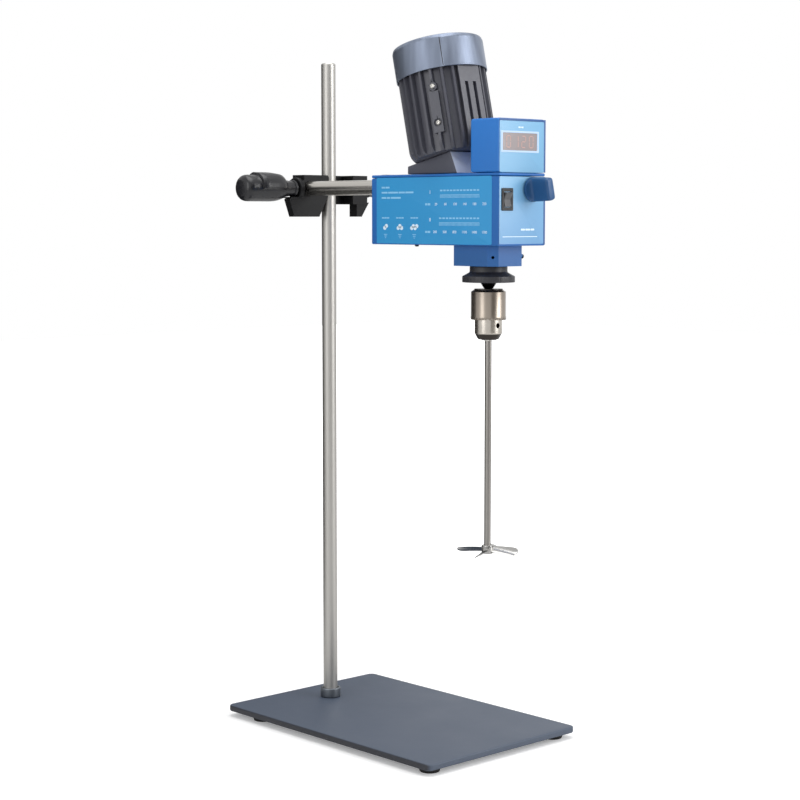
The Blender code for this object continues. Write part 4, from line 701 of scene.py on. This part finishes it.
# Seven-segment digits behind the pane, drawn on its face: each lit segment is a short slab
segments = {"a": (-2, 5.0, 2, 6.0), "b": (2.2, 0.4, 3.2, 5.2), "c": (2.2, -5.2, 3.2, -0.4),
            "d": (-2, -6.0, 2, -5.0), "e": (-3.2, -5.2, -2.2, -0.4), "f": (-3.2, 0.4, -2.2, 5.2),
            "g": (-2, -0.5, 2, 0.5)}
litRects = [np.array(segments[key]) + (u - 15.9 + 10.6 * number, v) * 2
            for number, shown in enumerate(("abcdef", "bc", "abged", "abcdef")) for key in shown]
addPrint("lit_digits", frontFace, "litSegments", litRects, low=0.36 * mm, high=0.42 * mm)

# Mains switch: a black frame and its rocker
addRounded("switch_frame", 0.4 * mm, "head", "blackNylon")
addRounded("switch_rocker", 0.3 * mm, "rocker", "greyRocker")
print("head done")


# Speed knob: a round skirt that turns into a grip bar. Rows hold height, R and B in mm. The radius at angle a
# is (R^-p + (B/|cos a|)^-p)^(-1/p): a circle R and a strip of half width B blended with power p
knob = {"turn": math.radians(13), "gap": 1 * mm, "power": 10.0, "sides": 128}
knobRows = np.array([
    (0.0, 11.5, 60), (0.25, 12.0, 60), (0.8, 12.3, 60), (2.6, 12.3, 40), (3.0, 12.25, 16), (3.3, 12.2, 9.5),
    (3.7, 12.15, 7.2), (4.3, 12.1, 6.0), (5.2, 12.0, 5.25), (6.5, 11.95, 4.95), (14.0, 11.7, 4.9),
    (22.5, 11.4, 4.85), (24.0, 11.2, 4.75), (24.9, 10.7, 4.4), (25.4, 9.9, 3.8), (25.7, 8.8, 2.9),
]) * mm
knobSpot = np.array(jointOf("speed_turn")["pos_m"], float)
knobSpot[1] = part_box("front_panel")[0][1]
angle = fullTurn(knob["sides"])
strip = knobRows[:, 2:3] / np.maximum(np.abs(np.cos(angle)), 1e-3)
radius = (knobRows[:, 1:2] ** -knob["power"] + strip ** -knob["power"]) ** (-1 / knob["power"])
grid = seated(around(radius, angle, knobRows[:, :1] + knob["gap"]), knobSpot, (0, -1, 0),
              (math.cos(knob["turn"]), 0, math.sin(knob["turn"])))
addGrid("grip_knob", grid, "speed", "darkBlueABS", ("speed_knob",), 60)

# Range selector: a flanged ring with shallow notches round its rim
selector = inMm(bore=13.4, rim=6, shoulder=9.5, collar=19, ease=1, notchDepth=0.15)
selector |= {"notches": 36, "sides": 288}
middle, half = middleOf("range_selector")


# the rim dips by a half cosine wave, raised to the fourth, at each notch
def notched(radius, height, angle):
    onRim = radius > half[0] - 0.1 * mm
    return radius - selector["notchDepth"] * np.clip(np.cos(selector["notches"] * angle), 0, 1) ** 4 * onRim


outline = [(selector["bore"], 0), (half[0], 0), (half[0], selector["rim"]),
           (selector["collar"] + selector["ease"], selector["shoulder"]),
           (selector["collar"], selector["shoulder"] + selector["ease"]),
           (selector["collar"], 2 * half[2]), (selector["bore"], 2 * half[2])]
addTurned("flanged_selector", eased(outline, 0.7 * mm, closed=True), middle - (0, 0, half[2]), (0, 0, 1),
          "selector", "blackAcetal", ("range_selector",), selector["sides"], True, notched)

# Output spindle: an arbor, an inverted cone of a shoulder, and the shaft above it
spindle = inMm(arbor=4, waist=4.5, shoulder=8, shaft=5, arborLength=12.3, coneHeight=5.5)
low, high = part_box("output_spindle")
coneLow = low[2] + spindle["arborLength"]
coneHigh = coneLow + spindle["coneHeight"]
outline = [(0, low[2]), (spindle["arbor"], low[2]), (spindle["arbor"], coneLow), (spindle["waist"], coneLow),
           (spindle["shoulder"], coneHigh), (spindle["shaft"], coneHigh + 0.3 * mm),
           (spindle["shaft"], high[2]), (0, high[2])]
chuckMiddle = middleOf("output_spindle")[0] * (1, 1, 0)
addTurned("coned_spindle", eased(outline, 0.25 * mm), chuckMiddle, (0, 0, 1), "spindle",
          "blackOxideSteel", ("output_spindle",), 72)

# Chuck sleeve: a satin barrel with a lip at its foot, pointed key teeth under it and a darkened bevel on top.
# Rows hold radius, height and the share of the teeth's triangle wave
sleeve = inMm(bore=14.35, lip=0.25, lipHeight=3.2, toothDepth=1.6, bevel=2.6, shelf=1, inset=3.2)
sleeve |= {"teeth": 26, "sides": 260}
low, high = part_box("chuck_sleeve")
outer, bore = (high[0] - low[0]) / 2, sleeve["bore"]
foot, crown = low[2], high[2]
barrel, lipTop, shelf = outer - sleeve["lip"], foot + sleeve["lipHeight"], crown - sleeve["shelf"]
rows = np.array([
    (bore, shelf, 0), (outer - sleeve["inset"], shelf, 0), (barrel - 0.4 * mm, crown - sleeve["bevel"], 0),
    (barrel, crown - sleeve["bevel"] - 0.4 * mm, 0), (barrel, lipTop + 0.5 * mm, 0),
    (outer - 0.05 * mm, lipTop, 0), (outer, lipTop - 0.3 * mm, 0),
    (outer, foot + sleeve["toothDepth"] + 0.3 * mm, 0), (outer - 0.2 * mm, foot, 1), (bore, foot, 1),
])
angle = fullTurn(sleeve["sides"])
tooth = np.abs((angle * sleeve["teeth"] / (2 * math.pi)) % 1 - 0.5) * 2 * sleeve["toothDepth"]
grid = around(rows[:, :1], angle, rows[:, 1:2] + rows[:, 2:3] * tooth) + chuckMiddle
addGrid("satin_sleeve", grid, "sleeve", "satinChuckSteel", ("chuck_sleeve",), 28, True)
bevelRim = outer - sleeve["inset"] - 0.1 * mm
shelf += 0.02 * mm
outline = [(bore, shelf), (bevelRim, shelf), (bevelRim - 0.3 * mm, crown - 0.4 * mm),
           (bevelRim - 1.3 * mm, crown), (bore, crown)]
addTurned("sleeve_bevel", eased(outline, 0.25 * mm, closed=True), chuckMiddle, (0, 0, 1), "sleeve",
          "darkenedSteel", sides=144, ring=True)

# Chuck body: a turned nose bored for three slanting jaws, with three holes for the key
nose = inMm(tip=9.6, coneHeight=6.5, bore=5.2, boreDepth=25, keyHole=2.5, keyHoleUp=14.5, jawBore=3.2,
            jawSeat=5.4, jawBoreDepth=23.5)
nose["jawAngle"] = math.radians(12)
low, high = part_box("chuck_body")
radius, top = (high[0] - low[0]) / 2, high[2] - low[2]
outline = [(0, 0), (nose["tip"], 0), (nose["tip"] + 1.2 * mm, 0.8 * mm), (radius, nose["coneHeight"]),
           (radius, top - 1.5 * mm), (radius - 1.5 * mm, top), (0, top)]
noseSpot = chuckMiddle + (0, 0, low[2])
noseMesh = gridMesh("nose", seated(turnedGrid(eased(outline, 0.4 * mm), 144), noseSpot), 30)


# a plain round cutter from a point along a direction, with a wider mouth if asked for
def boreMesh(spot, axis, radius, start, end, mouth=0.0):
    past = end + mouth + 6 * mm
    outline = [(0, start), (radius, start), (radius, end), (radius + mouth, end + mouth),
               (radius + mouth, past), (0, past)]
    side = (0.1, 0.2, 1) if abs(axis[2]) < 0.9 else (1, 0, 0)
    return gridMesh("bore", seated(turnedGrid(outline, 32), spot, axis, side), 30)


cutters = [boreMesh(noseSpot, (0, 0, 1), nose["bore"], -7 * mm, nose["boreDepth"] - 6 * mm)]
for number in range(3):
    turn = math.pi / 2 + 2 * math.pi * number / 3
    out = np.array([math.cos(turn), math.sin(turn), 0])
    keySpot, mouth = noseSpot + (0, 0, nose["keyHoleUp"]), radius - 0.5 * mm
    cutters.append(boreMesh(keySpot, -out, nose["keyHole"], radius - 4 * mm, mouth, 0.5 * mm))
    lean = out * math.sin(nose["jawAngle"]) + np.array([0, 0, math.cos(nose["jawAngle"])])
    jawSpot, jawEnd = noseSpot + out * nose["jawSeat"], nose["jawBoreDepth"] - 6 * mm
    cutters.append(boreMesh(jawSpot, lean, nose["jawBore"], -8 * mm, jawEnd))
noseMesh = smoothed(carved(noseMesh, cutters), 30)

# The nose's steel is painted dark below its chamfer as a painted reflection, and inside its holes as painted
# shade; the holes lie nearer to its axis than its skin
tree = finishes["turnedNoseSteel"].node_tree
coords = next(node for node in tree.nodes if node.type == "TEX_COORD").outputs["Object"]
fromAxis = addNode(tree, "VectorMath", {"operation": "SUBTRACT", 1: noseSpot}, {0: coords}).outputs["Vector"]
apart = addNode(tree, "SeparateXYZ", links={"Vector": fromAxis})
flat = addNode(tree, "VectorMath", {"operation": "MULTIPLY", 1: (1, 1, 0)}, {0: fromAxis})
away = addNode(tree, "VectorMath", {"operation": "LENGTH"}, {0: flat.outputs["Vector"]})
holeShade = addNode(tree, "MapRange", {"From Min": radius - 0.3 * mm, "From Max": radius - 0.7 * mm},
               {"Value": away.outputs["Value"]})
below = addNode(tree, "MapRange", {"From Min": nose["coneHeight"], "From Max": nose["coneHeight"] - 1.2 * mm},
                {"Value": apart.outputs["Z"]})
share = addNode(tree, "Math", {"operation": "MAXIMUM"},
                {0: holeShade.outputs["Result"], 1: below.outputs["Result"]})
# pale steel turns to the dark tone of the painted reflection and painted shade
addTones(tree, tree.nodes["Principled BSDF"], share.outputs[0], 0.0, 1.0, "#ccc6bd", "#3b3835")
addPiece("chuck_nose", noseMesh, "spindle", "turnedNoseSteel", ("chuck_body",))
for number in (1, 2, 3):
    addRounded(f"chuck_jaw_{number}", 0.15 * mm, f"jaw_{number}", "turnedSteel")

# Propeller: four blades on a hub. Along a blade u goes from 0 to 1; its half chord grows with u and closes
# at the tip as sqrt(1 - v^4), its pitch angle falls from root to tip, and its section is a thin ellipse bent
# into a shallow cup
propeller = inMm(
    hub=6, hubLength=9, bore=3.6, start=3.9, reach=32, root=5, grow=3, droop=1.5, sweep=0.8, thick=0.75,
    cup=0.7)
propeller |= {"blades": 4, "bladeTurn": 0.35, "tipFrom": 0.7}
propeller |= {"pitchRoot": math.radians(36), "pitchTip": math.radians(25)}
middle = np.array([chuckMiddle[0], chuckMiddle[1], middleOf("propeller")[0][2]])
tipFrom = propeller["tipFrom"]
tipRows = tipFrom + (1 - tipFrom) * np.sin(np.linspace(0, math.pi / 2, 14)[1:])
u = np.concatenate([np.linspace(0, tipFrom, 16), tipRows])[:, None]
nearTip = np.clip((u - tipFrom) / (1 - tipFrom), 0, 1)
chord = (propeller["root"] + propeller["grow"] * u) * np.sqrt(1 - 0.985 * nearTip ** 4)
section = fullTurn(32)
across = chord * np.cos(section) - propeller["sweep"] * u
thick = propeller["thick"] * (1 - 0.35 * u) * np.sin(section) + propeller["cup"] * np.sin(section) ** 2 * u
pitch = propeller["pitchRoot"] + (propeller["pitchTip"] - propeller["pitchRoot"]) * u
along = propeller["start"] + (propeller["reach"] - propeller["start"]) * u + 0 * section
rise = across * np.sin(pitch) + thick * np.cos(pitch) - propeller["droop"] * u * u
blade = np.stack([along, across * np.cos(pitch) - thick * np.sin(pitch), rise], axis=-1)
hubHalf = propeller["hubLength"] / 2
outline = [(propeller["bore"], -hubHalf), (propeller["hub"], -hubHalf), (propeller["hub"], hubHalf),
           (propeller["bore"], hubHalf)]
hub = seated(turnedGrid(eased(outline, 0.9 * mm, closed=True), 64), middle)
work = bmesh.new()
work.from_mesh(gridMesh("hub", hub, ring=True))
for number in range(propeller["blades"]):
    turn = 2 * math.pi * (number + propeller["bladeTurn"]) / propeller["blades"]
    placedBlade = seated(blade, middle, (0, 0, 1), (math.cos(turn), math.sin(turn), 0))
    work.from_mesh(gridMesh("blade", placedBlade, 50))
propellerMesh = bpy.data.meshes.new("four_blade_propeller")
work.to_mesh(propellerMesh)
work.free()
addPiece("four_blade_propeller", propellerMesh, "spindle", "pressedBladeSteel",
         ("propeller",))
print("spindle done")

# Clamp: the casting's solid, trimmed with boxes (x, y, z from the crossing of the two bars' heights, in mm)
rodSpot = middleOf("stand_rod")[0]
bossSpot = np.array([rodSpot[0], rodSpot[1], middleOf("extension_arm")[0][2]])
bossOuter = (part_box("boss_head")[1][0] - rodSpot[0]) / mm
trims = np.array([
    ((-70, -14, -33), (-5, -7.2, 17)), ((-70, 2, -33), (-26, 15, -10.5)),
    ((-51, -14, -9.6), (-46.2, 15, 17)), ((-47, -14, 9.5), (-42, 15, 17)),
    ((bossOuter - 27, -15, -33), (bossOuter - 19.5, 30, -17)),
    ((bossOuter - 27, 4, -33), (bossOuter + 1, 30, -17)),
]) * mm
cutters = [gridMesh("trim", blockGrid(*trim, 0.4 * mm, 0.2 * mm, 2) + bossSpot, 50) for trim in trims]
addRounded("boss_head", 1.0 * mm, "clamp", "blackPaintedCasting", 3, cutters)
screwBoss = inMm(bore=5.2, radius=12, outer=50, inner=44, edge=1.2)
outline = [(screwBoss["bore"], screwBoss["inner"]), (screwBoss["radius"], screwBoss["inner"]),
           (screwBoss["radius"], screwBoss["outer"]), (screwBoss["bore"], screwBoss["outer"])]
addTurned("screw_boss", eased(outline, screwBoss["edge"], closed=True), bossSpot, (-1, 0, 0), "clamp",
          "blackPaintedCasting", sides=64, ring=True, side=(0, 0, 1))

# Clamp handles: a collar, a flared neck, a round grip, one broad flat-topped lobe over its upper half and a
# flat round end. The lobe's radius is the smaller of core + lobe and its flat's d / cos(a). Rows hold height,
# core and lobe in mm
handle = inMm(flat=15.5, neck=15)
handle |= {"share": 0.02, "blend": 0.16, "sides": 162, "length": 0.945, "up": (0, -0.12, 0.993),
           "swell": 1.08}
handleRows = np.array([
    (0.0, 7.6, 0), (0.2, 9.0, 0), (0.7, 9.4, 0), (2.8, 9.4, 0), (3.2, 9.0, 0), (3.5, 8.2, 0), (8.0, 8.5, 0),
    (14.0, 9.2, 0), (19.6, 10.6, 0), (20.0, 10.7, 0.3), (20.5, 10.9, 1.5), (21.2, 11.1, 2.3),
    (23.0, 11.6, 2.8), (27.0, 12.5, 3.1), (32.0, 13.1, 3.2), (38.0, 13.3, 3.2), (48.0, 13.3, 3.2),
    (56.6, 13.3, 3.2), (57.2, 13.3, 2.9), (57.5, 13.3, 2.0), (57.8, 13.3, 0.2), (58.2, 13.3, 0),
    (64.0, 13.3, 0), (69.0, 13.3, 0), (71.5, 13.1, 0), (73.6, 12.5, 0), (75.4, 11.4, 0), (76.8, 9.8, 0),
    (77.7, 7.8, 0), (78.0, 6.0, 0), (78.0, 0.01, 0),
]) * mm
handleRows[:, 1:] *= np.where(handleRows[:, :1] > handle["neck"], handle["swell"], 1)
height, core, lobe = np.split(handleRows, 3, axis=1)
angle = fullTurn(handle["sides"])
edge = np.clip((np.cos(angle) + handle["share"]) / handle["blend"], 0, 1)
edge = edge * edge * (3 - 2 * edge)
flatTop = (handle["flat"] * handle["swell"] - core.max() + core) / np.cos(angle)
grid = around(np.minimum(core + lobe * edge, np.maximum(flatTop, core)), angle, height * handle["length"])
for clamp, direction in (("arm", -1), ("rod", 1)):
    node = f"{clamp}_clamp_knob"
    middle, half = middleOf(node)
    name, start = f"lobed_{clamp}_clamp_handle", middle - (direction * half[0], 0, 0)
    handleGrid = seated(grid, start, (direction, 0, 0), handle["up"])
    addGrid(name, handleGrid, f"{clamp}_screw", "blackPhenolic", (node,), 32)
    addRounded(f"{clamp}_clamp_screw", 0.3 * mm, f"{clamp}_screw", "turnedScrewSteel")
    addRounded(f"{clamp}_clamp_pad", 0.25 * mm, f"{clamp}_pad", "turnedScrewSteel")
print("clamp done")

# Small fittings
addRounded("cable_gland", 0.4 * mm, "head", "blackNylon")
low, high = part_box("gear_case")
spot = (high[0] + 0.1 * mm, low[1] + 10 * mm, low[2] + 23.5 * mm)
addPanScrew("case_screw", spot, (1, 0, 0), 2.3 * mm, "head", "blackPaintedCasting")
addPanScrew("floor_screw", placed(-63.5, -97.3, 520.3), (0, 0, -1), 2.2 * mm, "head", "darkenedSteel")

# The solids that stay as they are get their real materials, turned steel for all but these
kept = {
    "speed_bush": "bearingBronze", "motor_end_shield": "charcoalPaintedCasting", "cooling_fan": "blackNylon",
    "stator_core": "stackedLaminations", "rotor_core": "stackedLaminations", "friction_ring": "blackRubber",
    "display_board": "greenSolderMask",
}
for name in set(nodes) - dressed:
    nodes[name].data.materials.clear()
    nodes[name].data.materials.append(finishes[kept.get(name, "turnedSteel")])
print("fittings done")

# Camera where the photograph was taken from
view = {"place": (-1.40696, -1.47817, 0.563), "lens": 85.8, "sensor": 36.0, "tilt": math.radians(90 - 5.517),
        "turn": math.radians(-42.86)}
lensData = bpy.data.cameras.new("photoCamera")
lensData.lens, lensData.sensor_width = view["lens"], view["sensor"]
camera = linked("photoCamera", lensData)
camera.location = view["place"]
camera.rotation_euler = (view["tilt"], 0, view["turn"])
bpy.context.scene.camera = camera

# Light: a pale room, one broad lamp over the front right, one from the left and one from above
room = {"strength": 0.5, "seen": 1.0}
world = bpy.data.worlds.new("paleRoom")
bpy.context.scene.world = world
world.use_nodes = True
tree = world.node_tree
tree.nodes.clear()
path = addNode(tree, "LightPath").outputs
seen = addNode(tree, "Math", {"operation": "MAXIMUM"}, {0: path["Is Camera Ray"], 1: path["Is Glossy Ray"]})
seen = addNode(tree, "Math", {"operation": "MAXIMUM"}, {0: seen.outputs[0], 1: path["Is Transmission Ray"]})
level = addNode(tree, "MapRange", {"To Min": room["strength"], "To Max": room["seen"]},
                {"Value": seen.outputs[0]})
glow = addNode(tree, "Background", {"Color": (1, 1, 1, 1)}, {"Strength": level.outputs["Result"]})
addNode(tree, "OutputWorld", links={"Surface": glow.outputs[0]})


# puts an object at a place with one of its axes turned to face a point
def aimed(item, place, target, front):
    item.location = place
    item.rotation_euler = (Vector(target) - Vector(place)).to_track_quat(front, "Y").to_euler()


def addLamp(name, place, target, size, power):
    lamp = bpy.data.lights.new(name, "AREA")
    lamp.shape = "RECTANGLE"
    lamp.size, lamp.size_y = size
    lamp.energy = power
    aimed(linked(name, lamp), place, target, "-Z")


addLamp("frontLamp", (0.9, -1.9, 1.1), (0, 0, 0.45), (1.0, 1.4), 26)
addLamp("leftLamp", (-2.0, -0.2, 1.0), (0, 0, 0.45), (0.8, 1.4), 9)
addLamp("topLamp", (-0.1, -0.1, 2.1), (0, 0, 0.3), (1.4, 1.4), 20)


# a flat sheet of the scene's own, which isn't part of the object
def addSheet(name, width, depth, shade, roughness):
    corners = np.array([[[-1, -1, 0], [1, -1, 0]], [[-1, 1, 0], [1, 1, 0]]]) * (width / 2, depth / 2, 0)
    sheet = linked(name, surface(name, corners, closeColumns=False, capEnds=False))
    built = startFinish(name, {"Base Color": paint(shade), "Roughness": roughness})
    sheet.data.materials.append(finishes[name])
    return sheet, built


# a dark card that only reflections see, so that polished bars get their dark edges
def addCard(name, place, target, size, shade):
    card = addSheet(name, *size, shade, 0.9)[0]
    aimed(card, place, target, "Z")
    card.visible_camera = card.visible_diffuse = card.visible_shadow = card.visible_transmission = False


addCard("backCard", (-0.06, 1.8, 0.4), (0, 0, 0.4), (3.4, 1.6), "#3c3b3a")
addCard("lowCard", (-0.3, 1.1, 0.02), (-0.3, 1.1, 1.0), (1.4, 1.1), "#20201e")
addCard("frontCard", (-0.17, -2.5, 0.7), (0, 0, 0.7), (2.0, 2.0), "#77726a")

# Floor: pale, and white to the camera except where the object shades it
tree, shader, coords = addSheet("paleFloor", 12.0, 12.0, "#f4f4f4", 0.8)[1]
path = addNode(tree, "LightPath")
far = addNode(tree, "VectorMath", {"operation": "LENGTH"}, {0: coords})
lift = addNode(tree, "MapRange", {"From Min": 0.45, "From Max": 1.3, "To Min": 0.25, "To Max": 1.2},
               {"Value": far.outputs["Value"]})
glow = addNode(tree, "Emission", {"Color": (1, 1, 1, 1)}, {"Strength": lift.outputs["Result"]})
white = addNode(tree, "AddShader", links={0: shader.outputs[0], 1: glow.outputs[0]})
mixed = addNode(tree, "MixShader", links={0: path.outputs["Is Camera Ray"], 1: shader.outputs[0],
                                          2: white.outputs[0]})
tree.links.new(mixed.outputs[0], tree.nodes["Material Output"].inputs["Surface"])

bpy.context.scene.view_settings.view_transform = "Standard"
